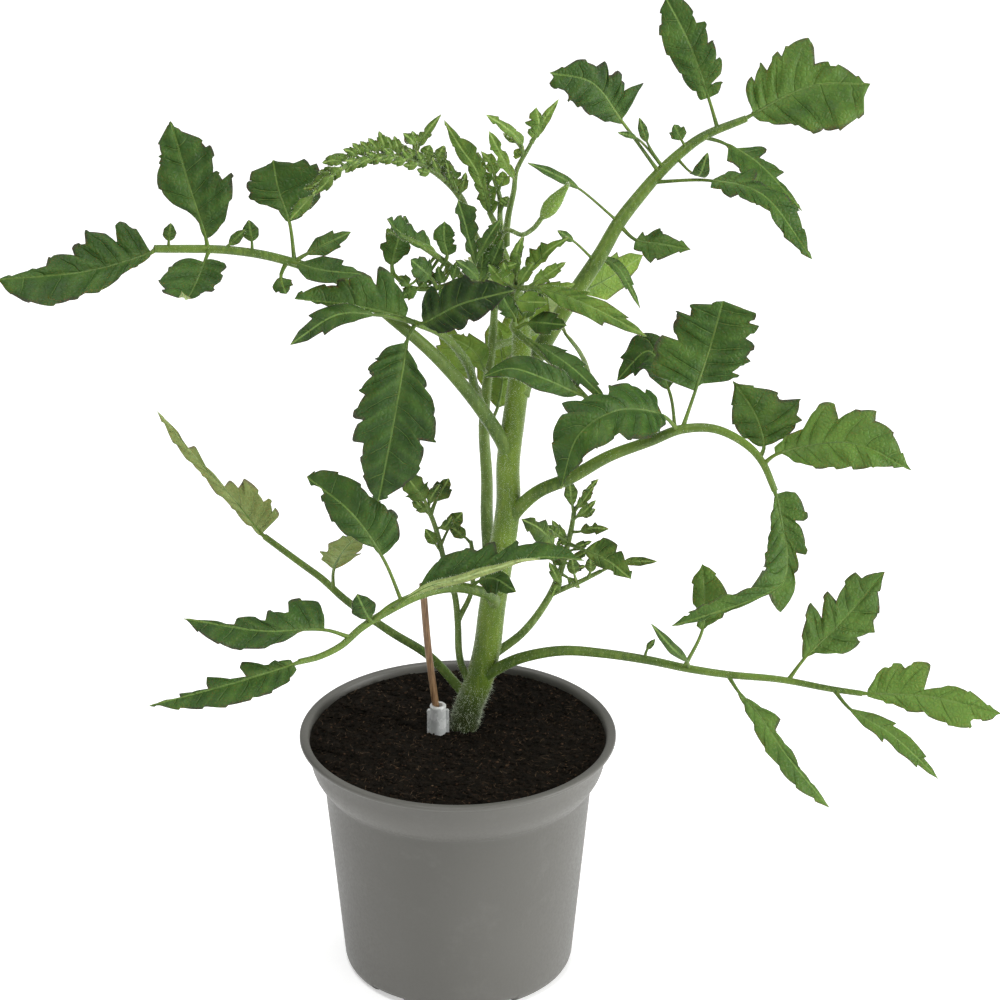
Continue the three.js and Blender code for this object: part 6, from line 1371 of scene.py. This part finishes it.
def floor_and_lights():
    m = Nodes("floor_paint", roughness=0.8, specular=0.2)
    floor_colour = m.mix(m.ramp(m.noise(1.2, 2.0), 0.3, 0.7), linear(250, 250, 250), linear(252, 252, 252))
    mesh = bpy.data.meshes.new("floor")
    far = FLOOR_REACH
    mesh.from_pydata([(-far, -far, 0), (far, -far, 0), (far, far, 0), (-far, far, 0)], [], [(0, 1, 2, 3)])
    mesh.materials.append(m.done(floor_colour, Emission_Color=(1, 1, 1, 1), Emission_Strength=FLOOR_GLOW))
    floor = bpy.data.objects.new("floor", mesh)
    link(floor)
    world = bpy.data.worlds.new("studio")
    world.use_nodes = True
    background = world.node_tree.nodes["Background"]
    background.inputs[0].default_value = (1, 1, 1, 1)
    background.inputs[1].default_value = WORLD_STRENGTH
    bpy.context.scene.world = world
    for name, place, size, power in LAMPS:
        light = bpy.data.lights.new(name, "AREA")
        light.size = size
        light.energy = power
        lamp = bpy.data.objects.new(name, light)
        lamp.location = place
        aim = np.array(LAMP_AIM) - np.array(place)
        level = math.hypot(aim[0], aim[1])
        lamp.rotation_euler = (math.atan2(level, -aim[2]), 0, math.atan2(-aim[0], aim[1]))
        link(lamp)


def camera():
    lens = bpy.data.cameras.new("camera")
    lens.lens = LENS_MM
    lens.sensor_width = 36
    lens.clip_end = 50
    view = bpy.data.objects.new("camera", lens)
    view.location = CAMERA_PLACE
    view.rotation_euler = (math.radians(CAMERA_PITCH_DEG), 0, 0)
    link(view)
    bpy.context.scene.camera = view
    bpy.context.scene.view_settings.view_transform = "Standard"


HAIRS = hair_material()
STEMS = stem_material("stem_green", linear(70, 96, 16), linear(98, 124, 26), linear(124, 146, 50), 0.85)
PETIOLES = stem_material("petiole_green", linear(62, 88, 20), linear(90, 116, 34), linear(116, 138, 56))
RIBS = stem_material("rib_green", linear(72, 98, 36), linear(98, 124, 52), linear(122, 146, 76))
YOUNG_STEMS = stem_material("stem_young", linear(70, 94, 34), linear(98, 122, 50), linear(140, 160, 96))
LEAF_TOP = blade_material(
    "leaf_top", (linear(24, 47, 11), linear(50, 81, 25), linear(90, 122, 46)),
    linear(118, 146, 74), linear(50, 40, 42), 0.5)
LEAF_UNDER = blade_material(
    "leaf_under", (linear(88, 104, 50), linear(126, 142, 78), linear(160, 176, 108)),
    linear(172, 188, 126), linear(104, 92, 86), 0.6, under=True)
YOUNG_TOP = blade_material(
    "young_top", (linear(38, 64, 18), linear(80, 112, 38), linear(134, 164, 64)),
    linear(146, 172, 92), linear(66, 58, 50), 0.5)
YOUNG_UNDER = blade_material(
    "young_under", (linear(90, 112, 56), linear(128, 150, 86), linear(162, 184, 118)),
    linear(176, 196, 134), linear(112, 104, 86), 0.6, under=True)
PEAT = [soil_material("peat", linear(12, 10, 5), linear(30, 24, 17), linear(62, 42, 29)),
        soil_material("peat_crumb", linear(46, 33, 24), linear(78, 60, 45), linear(120, 104, 84)),
        soil_material("peat_fibre", linear(60, 46, 35), linear(106, 88, 68), linear(150, 134, 112))]

# In the order of the material slots
STALKY = [STEMS, LEAF_TOP, LEAF_UNDER, HAIRS, RIBS]
GROWN = [PETIOLES, LEAF_TOP, LEAF_UNDER, HAIRS, RIBS]
YOUNG = [YOUNG_STEMS, YOUNG_TOP, YOUNG_UNDER, HAIRS, RIBS]

camera()
floor_and_lights()
pot_piece(pot_material())
soil_piece(PEAT)
main_stem_piece(STALKY, np.random.default_rng(STEM_SEED))
stick_piece(stick_material())
clip_piece(clip_material())
for seed, (name, branches) in enumerate(LEAVES.items(), FIRST_LEAF_SEED):
    build_leaf(name, branches, YOUNG if name in YOUNG_LEAVES else GROWN, np.random.default_rng(seed))
bud_piece(YOUNG, np.random.default_rng(BUD_SEED))
